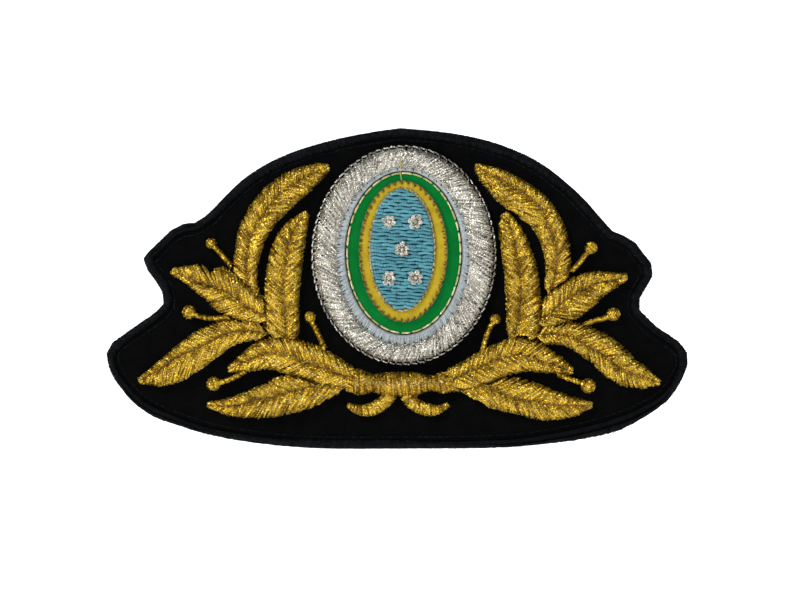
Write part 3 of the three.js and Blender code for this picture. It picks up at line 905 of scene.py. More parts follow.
class Footprint:
    """The front view of some CAD nodes, felt by looking at them from the front."""

    LONGEST = 13 * MM

    def __init__(self, *nodes: str) -> None:
        """Index the nodes' triangles.

        Args:
            nodes: The CAD nodes' names.
        """
        corners, faces = [], []
        for node in nodes:
            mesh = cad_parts[node].data
            faces += [[i + len(corners) for i in face.vertices] for face in mesh.polygons]
            corners += [vertex.co for vertex in mesh.vertices]
        self.tree = BVHTree.FromPolygons(corners, faces)

    def covers(self, spot: np.ndarray) -> bool:
        """Whether a node lies behind this point of the front view."""
        start = Vector((float(spot[0]), -0.05, float(spot[1])))
        return self.tree.ray_cast(start, Vector((0.0, 1.0, 0.0)))[0] is not None

    def span(self, start: np.ndarray, way: np.ndarray, far: float) -> tuple[float, float]:
        """Where a line enters and leaves the nodes.

        Args:
            start: Where the line begins.
            way: Its direction.
            far: How far to look for the way in.

        Returns:
            The distances from the start, or zeros if the line misses.
        """
        step = 0.1 * MM
        first, last, missed = None, 0.0, 0
        for i in range(int(self.LONGEST / step)):
            if self.covers(start + way * (i * step)):
                first = i * step if first is None else first
                last, missed = i * step, 0
            elif first is not None or i * step > far:
                missed += 1
                if missed > 2:
                    break
        return (first, last) if first is not None else (0.0, 0.0)


@dataclass
class Under:
    """Finds how far a stitch can run on to slip under a neighbour."""

    neighbours: Footprint
    look: float = 0.6 * MM
    tuck: float = 0.22 * MM

    def extra(self, end: np.ndarray, way: np.ndarray) -> float:
        """The distance from a stitch's end to just under the next piece, or zero if none is near.

        Args:
            end: The stitch's end in the front view.
            way: The direction it ends in.

        Returns:
            How much longer to make the stitch.
        """
        for i in range(1, 7):
            gap = self.look * i / 6
            if self.neighbours.covers(end + way * gap):
                return gap + self.tuck
        return 0.0


# --------------------------------------------------------------------------- the cloth under it all


@dataclass
class ClothStack:
    """The face felt, the stiffener and the lining, held together by the bound edge."""

    cell: float = 0.55 * MM
    random: np.random.Generator = field(default_factory=lambda: np.random.default_rng(11))

    def build(self) -> None:
        """Make the three layers."""
        self._cloth("face_felt", "felt_face", FELT, 0.05 * MM)
        self._cloth("backing_cloth", "lining_back", LINING, 0.03 * MM)
        dress(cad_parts["stiffener"], BUCKRAM)
        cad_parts["stiffener"].data.shade_flat()

    def _cloth(self, node: str, name: str, finish: Finish, ripple: float) -> None:
        """One cloth: a fine mesh of the layer with soft hollows pressed into it.

        Args:
            node: The CAD layer.
            name: The new piece's name.
            finish: The cloth.
            ripple: How deep the hollows are.
        """
        cloth = copy_node(node, name)
        soften(cloth, self.cell, 1)
        points = points_of(cloth)
        phase = self.random.uniform(0, TAU, 3)
        wave = np.sin(points[:, 0] / (5.1 * MM) + phase[0]) * np.sin(points[:, 2] / (4.3 * MM) + phase[1])
        points[:, 1] += ripple * wave * 0.4
        move_points(cloth, points)
        own(cloth, finish, node)


@dataclass
class BoundEdge:
    """The overcast edge: black thread wrapped over the rim of every layer."""

    pitch: float = 0.42 * MM
    seam_pitch: float = 1.3 * MM
    random: np.random.Generator = field(default_factory=lambda: np.random.default_rng(23))

    def build(self, mould: ThreadMould) -> None:
        """Make the padding roll, its wraps and the seam inside it.

        Args:
            mould: The thread that is copied along the stitches.
        """
        roll = copy_node("bound_edge", "edge_roll")
        soften(roll, 0.25 * MM, 2)
        swell(roll, -0.05 * MM)
        own(roll, BLACK)
        outline, inward = self._outline()
        low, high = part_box("bound_edge")
        wraps = Stitches(self.random, 0.46 * MM, 0.30 * MM, facing=Facing.RIM)
        count = int(length_of(outline) / self.pitch)
        spots, ways = evenly(outline, count), evenly(inward, count)
        for spot, way in zip(spots, ways):
            wraps.add(self._wrap(spot, way / np.linalg.norm(way), low.y, high.y))
        own(mould.lay("edge_wraps", wraps), BLACK, "bound_edge")
        self._seam(mould, outline, inward)

    def _outline(self) -> tuple[np.ndarray, np.ndarray]:
        """The badge's outer edge in order, and the way inwards at each point.

        Returns:
            The points and the directions, each closed by a copy of its first row.
        """
        low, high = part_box("bound_edge")
        points = points_of(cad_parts["bound_edge"])
        outer = points[np.abs(points[:, 1] - (low.y + high.y) / 2) < 1.0 * MM][:, [0, 2]]
        corners = np.unique(outer.round(6), axis=0)
        corners = corners[np.argsort(np.arctan2(corners[:, 1], corners[:, 0]))]
        smooth = evenly(np.vstack([corners, corners[:1]]), 2400)[:-1]
        for _ in range(3):
            smooth = 0.25 * np.roll(smooth, 1, 0) + 0.5 * smooth + 0.25 * np.roll(smooth, -1, 0)
        ahead = np.roll(smooth, -8, 0) - np.roll(smooth, 8, 0)
        inward = np.column_stack([-ahead[:, 1], ahead[:, 0]])
        inward /= np.linalg.norm(inward, axis=1, keepdims=True)
        return np.vstack([smooth, smooth[:1]]), np.vstack([inward, inward[:1]])

    def _wrap(self, spot: np.ndarray, way: np.ndarray, front: float, back: float) -> np.ndarray:
        """One thread from inside the face edge, over the rim, to the lining.

        Args:
            spot: The point on the outer edge, in the front view.
            way: The way inwards.
            front: Where the face of the edge lies in depth.
            back: Where its back lies.

        Returns:
            The path of the thread.
        """
        turn = np.linspace(-0.5 * math.pi, 0.5 * math.pi, 9)
        reach = 0.85 * MM
        depth = (front + back) / 2 - (back - front) / 2 * 0.93 * -np.sin(turn)
        inset = reach * (1 - np.cos(turn)) - 0.04 * MM
        inner = 1.75 * MM + self.random.uniform(-0.12, 0.12) * MM
        inset = np.concatenate([[inner], inset, [inner + 0.7 * MM]])
        depth = np.concatenate([[depth[0] + 0.3 * MM], depth, [back + 0.04 * MM]])
        lean = self.random.uniform(-0.05, 0.05) * MM + np.linspace(-0.15, 0.15, len(inset)) * MM
        along = np.array([way[1], -way[0]])
        flat = spot + inset[:, None] * way + lean[:, None] * along
        return upright(flat, depth)

    def _seam(self, mould: ThreadMould, outline: np.ndarray, inward: np.ndarray) -> None:
        """The row of small stitches just inside the binding.

        Args:
            mould: The thread that is copied along the stitches.
            outline: The outer edge.
            inward: The way inwards at each of its points.
        """
        low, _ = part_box("edge_seam")
        inset = outline + 2.15 * MM * inward
        count = int(length_of(inset) / self.seam_pitch)
        seam = Stitches(self.random, 0.24 * MM, 0.2 * MM)
        for i in range(count):
            piece = running_stitch(inset, (i + 0.08) / count, (i + 0.9) / count, low.y + 0.14 * MM, 0.08 * MM)
            seam.add(piece)
        own(mould.lay("edge_seam_stitches", seam), BLACK, "edge_seam")


def running_stitch(line: np.ndarray, start: float, end: float, front: float, sag: float) -> np.ndarray:
    """One stitch of a running line, rising out of the cloth and back into it.

    Args:
        line: The line in the front view, as rows of x, z.
        start: Where the stitch begins, as a share of the line.
        end: Where it ends.
        front: The depth of the stitch's middle.
        sag: How far its ends go in below that.

    Returns:
        Rows of x, y, z.
    """
    places = np.linspace(start, end, 7) * (len(line) - 1)
    flat = np.column_stack([np.interp(places, np.arange(len(line)), line[:, i]) for i in (0, 1)])
    arch = np.sin(np.linspace(0, math.pi, 7)) ** 0.5
    return upright(flat, front + sag * (1 - arch) * 2)


# --------------------------------------------------------------------------- satin leaves, knot and berries


Stations = list[tuple[float, float, float, float]]


class Form:
    """The whole shape of a satin column, before its neighbours hide any of it."""

    def __init__(self, stations: Stations, rise: float, full_width: float, profile: Pairs) -> None:
        """Smooth the stations.

        Args:
            stations: Middle x, z and the reach to the left and to the right, from tip to base, in mm.
            rise: The height of a stretch at full width.
            full_width: A stretch narrower than this stands lower.
            profile: Shares of the half width and of the height, from the middle to the edge.
        """
        rows = spline(np.array(stations) * MM, 180)
        self.middle = rows[:, :2]
        self.reach = np.maximum(rows[:, 2:], 0.05 * MM)
        self.ahead = headings(self.middle)
        self.leftward = np.column_stack([-self.ahead[:, 1], self.ahead[:, 0]])
        self.tall = rise * np.sqrt(np.minimum(1.0, self.reach.sum(axis=1) / full_width))
        self.profile = np.array(profile)

    def height(self, points: np.ndarray) -> np.ndarray:
        """How high the column stands at points of the front view.

        Args:
            points: The points, as rows of x, z.

        Returns:
            One height for each point.
        """
        gaps = points[:, None, :] - self.middle[None, :, :]
        near = np.argmin((gaps**2).sum(axis=2), axis=1)
        offset = gaps[np.arange(len(points)), near]
        aside = (offset * self.leftward[near]).sum(axis=1)
        beyond = np.abs((offset * self.ahead[near]).sum(axis=1)) / (0.9 * MM)
        reach = np.where(aside > 0, self.reach[near, 0], self.reach[near, 1])
        share = np.hypot(np.abs(aside) / reach, beyond)
        return self.tall[near] * np.interp(share, self.profile[:, 0], self.profile[:, 1])

    def rows(self, pitch: float, beyond: float) -> tuple[np.ndarray, np.ndarray]:
        """Points along the middle, run on past the base, with their directions.

        Args:
            pitch: The distance between points.
            beyond: How far to run on past the base.

        Returns:
            The points and their directions.
        """
        last = self.middle[-1] + self.ahead[-1] * beyond
        line = np.vstack([self.middle, last])
        line = evenly(line, max(6, int(length_of(line) / pitch)))
        return line, headings(line)


LOBES: Pairs = [
    (0.0, 0.34), (0.06, 0.58), (0.22, 0.90), (0.5, 1.0), (0.75, 0.90), (0.9, 0.60), (1.0, 0.16), (1.15, 0.0),
]
ROUND: Pairs = [(0.0, 1.0), (0.4, 0.97), (0.7, 0.82), (0.9, 0.52), (1.0, 0.16), (1.15, 0.0)]


@dataclass
class SatinPiece:
    """What every padded satin piece shares: a soft pad, and threads that follow its form."""

    node: str
    stations: Stations
    seed: int
    finish: Finish = GOLD
    thread_width: float = 0.40 * MM
    thread_height: float = 0.36 * MM
    pad_swell: float = 0.06 * MM
    underlay_swell: float = -0.17 * MM
    under_drop: float = 0.12 * MM
    under_pitch: float = 1.3
    random: np.random.Generator = field(init=False)

    def prepare(self, full_width: float, profile: Pairs, neighbours: list[str]) -> None:
        """Measure the CAD node and work out the form over it.

        Args:
            full_width: The width at which the piece stands at its full height.
            profile: The form's section.
            neighbours: The nodes that its stitches may slip under.
        """
        self.random = np.random.default_rng(self.seed)
        low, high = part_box(self.node)
        self.floor, self.rise = high.y, high.y - low.y
        self.form = Form(self.stations, self.rise, full_width, profile)
        self.print = Footprint(self.node)
        self.under = Under(Footprint(*[name for name in neighbours if name != self.node]))

    def pad(self, node: str) -> None:
        """Make the soft pad under the stitches.

        Args:
            node: The CAD node that it stands for.
        """
        pad = copy_node(node, f"{self.node}_padding")
        soften(pad, 0.3 * MM, 3)
        swell(pad, self.pad_swell)
        own(pad, PADDING, node)

    def underlay(self) -> None:
        """Make the dense first layer of gold under the stitches, so that no padding shows between them."""
        layer = copy_node(self.node, f"{self.node}_underlay")
        soften(layer, 0.22 * MM, 2)
        swell(layer, self.underlay_swell)
        own(layer, self.finish)

    def thread(self, start: np.ndarray, way: np.ndarray, near: float, far: float, drop: float) -> np.ndarray:
        """A straight stitch in the front view that rides over the form.

        Args:
            start: The point that distances are measured from.
            way: Its direction.
            near: The distance at which it begins.
            far: The distance at which it ends.
            drop: How far below the form it lies.

        Returns:
            Rows of x, y, z.
        """
        share = np.linspace(0.0, 1.0, 15)
        flat = start + (near + share[:, None] * (far - near)) * way
        height = self.form.height(flat) - drop
        dip = np.clip((np.abs(share - 0.5) - 0.42) / 0.08, 0.0, 1.0)
        height -= 0.10 * MM * dip
        return upright(flat, self.floor - height)

    def lay(
        self, stitches: Stitches, start: np.ndarray, way: np.ndarray, near: float, far: float, drop: float,
    ) -> None:
        """Lay one stitch, as two overlapping ones where it is long.

        Args:
            stitches: The set of stitches to add to.
            start: A point on the line of the stitch.
            way: Its direction.
            near: Where it begins, as a distance from start.
            far: Where it ends.
            drop: How far it lies below the top of the padding.
        """
        drop += self.random.uniform(-0.035, 0.035) * MM
        length = far - near
        if length > 2.3 * MM:
            cut = near + length * self.random.uniform(0.3, 0.7)
            lap = 0.12 * MM
            stitches.add(self.thread(start, way, near, cut + lap, drop))
            drop += self.random.uniform(-0.02, 0.02) * MM
            stitches.add(self.thread(start, way, cut - lap, far, drop))
        else:
            stitches.add(self.thread(start, way, near, far, drop))


@dataclass
class SatinLeaf(SatinPiece):
    """A leaf worked in two rows of slanting satin stitches that meet at the midrib."""

    pitch: float = 0.35 * MM
    slant: float = math.radians(48)
    tip_slant: float = math.radians(26)
    under_turn: float = -0.16
    past_base: float = 4.8 * MM
    vein_pitch: float = 0.44 * MM

    def build(self, mould: ThreadMould, neighbours: list[str]) -> None:
        """Make the padding and the stitches over it.

        Args:
            mould: The thread that is copied along the stitches.
            neighbours: The CAD nodes that the stitches tuck under.
        """
        self.prepare(6 * MM, LOBES, neighbours)
        self.pad(f"{self.node}_pad")
        self.underlay()
        stitches = Stitches(self.random, self.thread_width, self.thread_height)
        self._sides(stitches, self.under_drop, self.pitch * self.under_pitch, self.under_turn)
        self._sides(stitches, 0.0, self.pitch, 0.0)
        self._tip(stitches)
        vein = Stitches(self.random, 0.26 * MM, 0.24 * MM)
        self._vein(stitches, vein)
        own(mould.lay(f"{self.node}_stitches", stitches), self.finish, self.node)
        own(mould.lay(f"{self.node}_vein", vein), VEIN_HOLE_SHADE)

    def _sides(self, stitches: Stitches, drop: float, pitch: float, turn: float) -> None:
        """Lay one layer of slanting stitches down both sides.

        Args:
            stitches: Where to add them.
            drop: How far below the form the layer lies.
            pitch: The distance between stitches, measured across them.
            turn: Added to the slant, in radians.
        """
        line, ahead = self.form.rows(pitch / math.sin(self.slant), self.past_base)
        length = length_of(self.form.middle)
        for i, (spot, way) in enumerate(zip(line, ahead)):
            along = i / (len(line) - 1) * (length + self.past_base)
            slant = np.interp(along / length, [0.0, 0.18], [self.tip_slant, self.slant]) + turn
            for side in (-1, 1):
                across = left_of(way) * side
                lean = slant + self.random.normal(0, math.radians(1.4))
                slanted = -way * math.cos(lean) + across * math.sin(lean)
                start = spot + across * self.random.uniform(-0.08, 0.06) * MM
                self._stitch(stitches, start, slanted, drop)

    def _stitch(self, stitches: Stitches, start: np.ndarray, way: np.ndarray, drop: float) -> None:
        """One stitch from the midrib, or from the base's edge, out to the side.

        Args:
            stitches: The set of stitches to add to.
            start: The point on the midrib.
            way: The direction of the stitch.
            drop: How far it lies below the top of the padding.
        """
        near, far = self.print.span(start, way, 7.0 * MM)
        if far - near < (0.4 if near < 0.3 * MM else 0.9) * MM:
            return
        tuck = self.under.extra(start + way * far, way)
        far += tuck or self.random.uniform(-0.08, 0.30) * MM
        if near > 0.3 * MM:
            near -= self.under.extra(start + way * near, -way) or 0.1 * MM
        self.lay(stitches, start, way, near, far, drop)

    def _tip(self, stitches: Stitches) -> None:
        """A few stitches that round off the tip.

        Args:
            stitches: The set of stitches to add to.
        """
        spot, way = self.form.middle[7], self.form.ahead[7]
        for turn in np.linspace(-1.0, 1.0, 9):
            across = left_of(way)
            fan = -way * math.cos(turn) + across * math.sin(turn)
            _, far = self.print.span(spot, fan, 0.3 * MM)
            end = far + self.random.uniform(0.0, 0.15) * MM
            stitches.add(self.thread(spot, fan, -0.3 * MM, end, self.random.uniform(-0.05, 0.03) * MM))

    def _vein(self, stitches: Stitches, dark: Stitches) -> None:
        """Small tie-down stitches that wander along the midrib, gold and dark by turns; the dark ones are
        painted shade of the needle holes there.

        Args:
            stitches: The gold stitches to add to.
            dark: The dark stitches to add to.
        """
        line = self.form.middle
        count = int(length_of(line) / self.vein_pitch)
        for i in range(1, count - 1):
            place = int(i / count * (len(line) - 1))
            if not self.print.covers(line[place]):
                continue
            way = self.form.ahead[place]
            turn = (0.55 if i % 4 < 2 else -0.55) + self.random.normal(0, 0.2)
            way = way * math.cos(turn) + left_of(way) * math.sin(turn)
            start = line[place] + self.random.uniform(-0.10, 0.10, 2) * MM
            far = self.random.uniform(0.2, 0.4) * MM
            # Every second stitch is dark: painted shade of a needle hole.
            if i % 2:
                dark.add(self.thread(start, way, -0.26 * MM, far, -0.14 * MM))
            else:
                stitches.add(self.thread(start, way, -0.3 * MM, far, -0.14 * MM), 0.72)


@dataclass
class SatinColumn(SatinPiece):
    """A narrow band of satin stitches laid across its line."""

    full_width: float = 4 * MM
    lean: float = math.radians(84)
    pitch: float = 0.30 * MM
    pad_node: str = ""
    beyond: float = 0.0

    def build(self, mould: ThreadMould, neighbours: list[str]) -> None:
        """Make the core and the stitches over it.

        Args:
            mould: The thread that is copied along the stitches.
            neighbours: The CAD nodes that the stitches tuck under.
        """
        self.prepare(self.full_width, ROUND, neighbours)
        if self.pad_node:
            self.pad(self.pad_node)
        self.underlay()
        stitches = Stitches(self.random, self.thread_width, self.thread_height)
        self._across(stitches, self.under_drop, self.pitch * self.under_pitch)
        self._across(stitches, 0.02 * MM, self.pitch)
        self.extra(stitches)
        own(mould.lay(f"{self.node}_stitches", stitches), self.finish, self.node)

    def _across(self, stitches: Stitches, drop: float, pitch: float) -> None:
        """Lay one layer of stitches from one edge to the other, all along the line.

        Args:
            stitches: The set of stitches to add to.
            drop: How far the layer lies below the top.
            pitch: The distance between stitches.
        """
        line, ahead = self.form.rows(pitch, self.beyond)
        for spot, way in zip(line, ahead):
            if not self.print.covers(spot) and not self._beside(spot, way):
                continue
            lean = self.lean + self.random.normal(0, math.radians(3))
            slanted = left_of(way) * math.sin(lean) - way * math.cos(lean)
            left, right = self._reach(spot, slanted), self._reach(spot, -slanted)
            self.lay(stitches, spot, slanted, -right, left, drop)

    def _beside(self, spot: np.ndarray, way: np.ndarray) -> bool:
        """Whether the row still shows on one side of its middle, or lies in the gap beside a neighbour."""
        return any(self.print.covers(spot - way * back * MM) for back in (0.15, 0.3, 0.45, 0.6))

    def _reach(self, spot: np.ndarray, way: np.ndarray) -> float:
        """How far a stitch reaches to one side.

        Args:
            spot: The point on the middle line.
            way: The direction to that side.

        Returns:
            The distance to the end of the stitch.
        """
        _, far = self.print.span(spot, way, 0.4 * MM)
        near = np.argmin(((self.form.middle - spot) ** 2).sum(axis=1))
        far = far or float(self.form.reach[near].mean())
        return far + (self.under.extra(spot + way * far, way) or self.random.uniform(-0.02, 0.14) * MM)

    def extra(self, stitches: Stitches) -> None:
        """Nothing more on a plain column."""


@dataclass
class Knot(SatinColumn):
    """The band that joins both branches, with slanting stitches where they run into it."""

    splice: float = 1.5 * MM

    def extra(self, stitches: Stitches) -> None:
        """Cover both joins with short stitches along the branches.

        Args:
            stitches: The set of stitches to add to.
        """
        for end, outward in ((0, -1.0), (-1, 1.0)):
            middle, reach = self.form.middle[end], self.form.reach[end]
            for share in np.linspace(-0.82, 0.82, 16):
                spot = middle + self.form.leftward[end] * share * (reach[0] if share > 0 else reach[1])
                rise = self.random.uniform(0.15, 0.6)
                way = np.array([outward, rise]) / math.hypot(1.0, rise)
                height = self.rise * (0.93 - 0.55 * abs(share) ** 3)
                steps = np.linspace(-0.75, 1.0, 9)
                flat = spot + steps[:, None] * self.splice * way
                sag = np.where(steps > 0, steps, 0) ** 2 * 0.35 * MM + np.abs(steps) ** 4 * 0.12 * MM
                stitches.add(upright(flat, self.floor - height + sag))


@dataclass
class Berry(SatinColumn):
    """A round head of stitches worked from its middle, on a thin stalk."""

    radius: float = 1.1 * MM

    def extra(self, stitches: Stitches) -> None:
        """Work the head: stitches across it, and a round of stitches out to its edge.

        Args:
            stitches: The set of stitches to add to.
        """
        centre = np.array(self.stations[0][:2]) * MM
        for i in range(13):
            turn = TAU * i / 13 + self.random.normal(0, 0.08)
            way = np.array([math.cos(turn), math.sin(turn)])
            stitches.add(self._ray(centre, way, 0.15, 1.06, 0.10 * MM))
        across = -self.form.leftward[0]
        for share in np.linspace(-0.86, 0.86, int(self.radius * 1.72 / (0.27 * MM))):
            half = math.sqrt(1 - share**2) * 1.02
            spot = centre + self.form.ahead[0] * share * self.radius
            steps = np.linspace(-half, half, 11)
            flat = spot + steps[:, None] * self.radius * across
            height = self.rise * np.sqrt(np.maximum(0.0, 1.06 - np.hypot(steps, share) ** 2.2)) ** 1.1
            stitches.add(upright(flat, self.floor - height), 0.95)

    def _ray(
        self, centre: np.ndarray, way: np.ndarray, inner: float, outer: float, drop: float,
    ) -> np.ndarray:
        """One stitch of the head, from near its middle to its edge.

        Args:
            centre: The middle of the berry.
            way: The direction of the stitch.
            inner: Where it begins, as a share of the radius.
            outer: Where it ends, as a share of the radius.
            drop: How far it lies below the top.

        Returns:
            The path of the stitch.
        """
        share = np.linspace(inner, outer, 9)
        flat = centre + share[:, None] * self.radius * way
        height = self.rise * np.sqrt(np.maximum(0.0, 1 - share**2.4)) - drop
        return upright(flat, self.floor - height)


LEAVES: dict[str, Stations] = {
    "leaf_left_outer": [
        (-13.1, 23.1, 0.6, 0.5), (-15.2, 22.3, 1.7, 1.6), (-18.5, 20.6, 2.8, 2.3), (-22.1, 18.1, 3.3, 2.9),
        (-25.4, 14.2, 2.8, 3.0), (-27.5, 10.4, 2.6, 2.8), (-28.4, 6.7, 2.3, 2.5), (-28.6, 3.2, 1.9, 2.6),
        (-28.0, 0.2, 1.6, 2.6), (-26.5, -2.9, 1.4, 2.4),
    ],
    "leaf_left_inner": [
        (-17.3, 14.3, 0.6, 0.6), (-18.6, 12.9, 1.9, 1.1), (-19.9, 10.6, 2.7, 2.3), (-21.0, 6.5, 3.1, 3.2),
        (-21.6, 1.3, 3.1, 3.5), (-21.6, -1.7, 2.9, 3.6), (-21.3, -4.8, 2.6, 3.8), (-21.2, -7.4, 2.5, 3.8),
        (-21.2, -10.1, 2.5, 3.5),
    ],
    "leaf_left_side": [
        (-42.8, 3.4, 0.6, 0.5), (-39.8, 2.1, 2.6, 1.1), (-37.5, 1.3, 3.3, 2.0), (-36.2, 0.8, 2.2, 2.4),
        (-35.4, 0.6, 3.0, 3.1), (-34.3, 0.4, 4.0, 3.6), (-32.0, -0.9, 3.5, 4.0), (-29.0, -2.9, 2.8, 3.3),
        (-25.7, -4.8, 2.4, 2.0), (-24.2, -5.5, 2.2, 1.0),
    ],
    "leaf_left_lower": [
        (-49.1, -17.4, 0.4, 0.6), (-45.7, -15.4, 1.0, 3.5), (-43.0, -13.5, 1.3, 4.5),
        (-40.4, -12.2, 2.0, 4.2),
        (-37.7, -11.0, 2.7, 3.7), (-35.2, -9.9, 3.0, 3.0), (-32.6, -8.6, 2.7, 2.6), (-29.9, -8.0, 2.3, 2.1),
        (-27.1, -8.0, 2.1, 1.8), (-23.8, -8.4, 2.1, 1.6),
    ],
    "leaf_left_middle": [
        (-32.0, -15.2, 0.4, 0.6), (-29.9, -14.2, 1.2, 1.6), (-27.5, -13.2, 2.1, 2.3),
        (-24.8, -12.2, 2.8, 3.1),
        (-22.5, -12.0, 3.1, 3.6), (-20.0, -12.7, 3.3, 3.5), (-17.0, -13.9, 3.5, 3.2),
        (-14.3, -14.8, 3.3, 3.3),
        (-11.3, -16.1, 2.6, 2.7), (-8.4, -17.3, 2.2, 1.9),
    ],
    "leaf_left_bottom": [
        (-35.9, -21.9, 0.4, 0.6), (-32.6, -22.2, 1.3, 1.7), (-29.9, -21.9, 1.7, 2.5),
        (-27.5, -21.1, 2.0, 3.4),
        (-24.2, -20.7, 2.8, 3.6), (-21.8, -19.9, 3.3, 3.9), (-19.1, -19.2, 3.1, 4.0),
        (-16.6, -18.5, 1.9, 3.9),
        (-13.8, -18.2, 1.2, 2.9), (-10.9, -18.2, 1.0, 1.4),
    ],
    "leaf_right_outer": [
        (14.9, 23.4, 0.4, 0.6), (16.8, 22.3, 1.1, 2.1), (19.1, 21.1, 1.7, 3.2), (21.6, 19.6, 2.0, 4.0),
        (24.6, 17.7, 2.1, 4.3), (27.3, 15.0, 2.4, 3.7), (28.8, 11.6, 2.8, 2.6), (29.9, 8.7, 2.7, 2.5),
        (30.3, 5.9, 2.6, 2.3), (29.9, 2.7, 2.6, 1.7), (28.8, -0.6, 2.3, 1.2),
    ],
    "leaf_right_inner": [
        (20.2, 14.3, 0.6, 0.6), (21.0, 12.9, 1.2, 1.8), (21.8, 10.3, 2.2, 2.4), (22.7, 5.9, 3.1, 2.8),
        (23.3, 2.7, 3.4, 2.9), (23.4, -0.2, 3.7, 2.9), (23.3, -3.0, 4.0, 2.7), (22.8, -5.9, 4.3, 2.1),
        (22.1, -9.4, 4.6, 1.3),
    ],
    "leaf_right_side": [
        (43.5, 2.3, 0.5, 0.6), (41.1, 1.7, 1.5, 1.4), (37.9, 1.1, 2.8, 2.3), (35.1, -0.2, 3.8, 2.9),
        (32.0, -1.9, 4.3, 2.9), (30.3, -3.2, 3.9, 2.8), (28.6, -4.8, 2.7, 2.7), (26.9, -5.9, 1.9, 2.6),
    ],
    "leaf_right_lower": [
        (49.7, -17.7, 0.6, 0.4), (46.5, -16.6, 2.4, 1.9), (43.4, -15.6, 2.8, 2.9), (40.9, -13.9, 2.9, 3.5),
        (38.3, -12.0, 2.5, 3.6), (35.6, -10.6, 2.0, 3.5), (33.5, -9.3, 2.0, 3.1), (31.3, -8.7, 1.9, 2.5),
        (28.6, -8.6, 1.8, 2.2), (25.9, -8.9, 1.5, 2.1),
    ],
    "leaf_right_middle": [
        (33.2, -15.6, 0.6, 0.5), (30.9, -14.8, 1.3, 1.6), (27.8, -13.9, 1.9, 2.8), (25.2, -12.9, 2.9, 3.4),
        (22.7, -12.5, 3.4, 3.4), (19.5, -13.3, 3.4, 3.0), (16.1, -14.6, 3.6, 2.7), (13.6, -15.6, 3.5, 2.1),
        (10.9, -16.9, 2.7, 2.1), (9.2, -17.8, 2.1, 2.0),
    ],
    "leaf_right_bottom": [
        (36.9, -22.0, 0.5, 0.5), (33.0, -22.1, 2.2, 1.6), (29.2, -21.9, 3.0, 2.8), (26.5, -21.5, 3.1, 3.4),
        (23.5, -20.9, 2.9, 3.8), (20.8, -20.1, 3.2, 3.6), (18.7, -19.0, 3.8, 2.4), (16.8, -18.4, 3.5, 1.3),
        (13.8, -18.4, 2.2, 0.9), (11.5, -18.6, 0.9, 0.8),
    ],
}

KNOT: Stations = [
    (-8.2, -17.6, 2.5, 2.3), (-6.6, -17.8, 2.3, 2.4), (-4.9, -17.8, 1.6, 1.6), (-2.6, -18.0, 2.1, 2.2),
    (0.5, -18.1, 2.3, 2.3), (3.3, -18.0, 2.2, 2.2), (6.4, -17.9, 1.3, 1.3), (8.0, -17.8, 1.8, 2.0),
    (9.2, -17.6, 2.1, 2.2),
]

TENDRILS: dict[str, Stations] = {
    "tendril_left": [
        (-9.4, -22.1, 0.4, 0.3), (-7.4, -23.0, 0.9, 0.9), (-4.8, -22.8, 1.2, 1.2), (-2.6, -21.6, 1.3, 1.2),
        (-1.2, -19.8, 1.3, 1.2),
    ],
    "tendril_right": [
        (9.6, -22.1, 0.3, 0.4), (7.8, -22.9, 0.8, 0.8), (5.9, -23.0, 1.1, 1.1), (3.9, -22.3, 1.2, 1.2),
        (2.2, -21.0, 1.2, 1.2), (1.4, -19.6, 1.1, 1.1),
    ],
}

BERRIES: dict[str, tuple[float, Pairs]] = {
    "berry_left_top": (0.95, [(-35.4, 8.6), (-33.7, 6.9), (-31.6, 4.4)]),
    "berry_left_side": (1.2, [(-39.6, -4.4), (-37.6, -5.2), (-35.0, -5.6), (-32.2, -5.4)]),
    "berry_left_inner": (0.95, [(-16.6, -5.3), (-15.9, -6.9), (-14.9, -8.9), (-13.8, -11.4)]),
    "berry_left_bottom": (1.25, [(-34.9, -18.0), (-33.0, -17.6), (-31.0, -16.8), (-28.8, -15.6)]),
    "berry_right_top": (1.1, [(36.8, 7.8), (35.6, 6.4), (34.4, 4.8), (33.0, 3.4)]),
    "berry_right_side": (1.2, [(41.0, -4.8), (39.2, -5.6), (37.4, -6.0), (35.0, -7.0)]),
    "berry_right_inner": (0.95, [(18.6, -5.7), (17.6, -7.2), (16.9, -8.9), (16.2, -11.6)]),
    "berry_right_bottom": (1.35, [(36.2, -18.4), (34.2, -17.6), (32.4, -17.0), (30.4, -16.2)]),
}
STALK_REACH = 0.38


@dataclass
class Branches:
    """Both branches with their berries, the knot that joins them and its tendrils."""

    def build(self, mould: ThreadMould) -> None:
        """Make every gold piece.

        Args:
            mould: The thread that is copied along the stitches.
        """
        gold = [*LEAVES, "knot"]
        for seed, (node, stations) in enumerate(LEAVES.items(), start=100):
            SatinLeaf(node, stations, seed).build(mould, gold)
        # The knot gets the darker gold: painted shade.
        Knot("knot", KNOT, 200, GOLD_BAND_SHADED, pad_node="knot_pad").build(mould, ["medallion_ground"])
        for seed, (node, stations) in enumerate(TENDRILS.items(), start=210):
            SatinColumn(node, stations, seed, full_width=2 * MM, beyond=1.2 * MM).build(mould, gold)
        for seed, (node, (radius, line)) in enumerate(BERRIES.items(), start=220):
            stations = [(x, z, STALK_REACH, STALK_REACH) for x, z in line]
            Berry(
                node, stations, seed, full_width=1.1 * MM, lean=math.radians(60), radius=radius * MM,
            ).build(mould, gold)


# --------------------------------------------------------------------------- the medallion


@dataclass(frozen=True)
class Line:
    """A running stitch around an oval."""

    node: str
    name: str
    finish: Finish
    pitch: float
    share: float
    width: float
    inset: float
    turn: float = 0.0
    sag: float = 0.10 * MM
    lift: float = 0.0


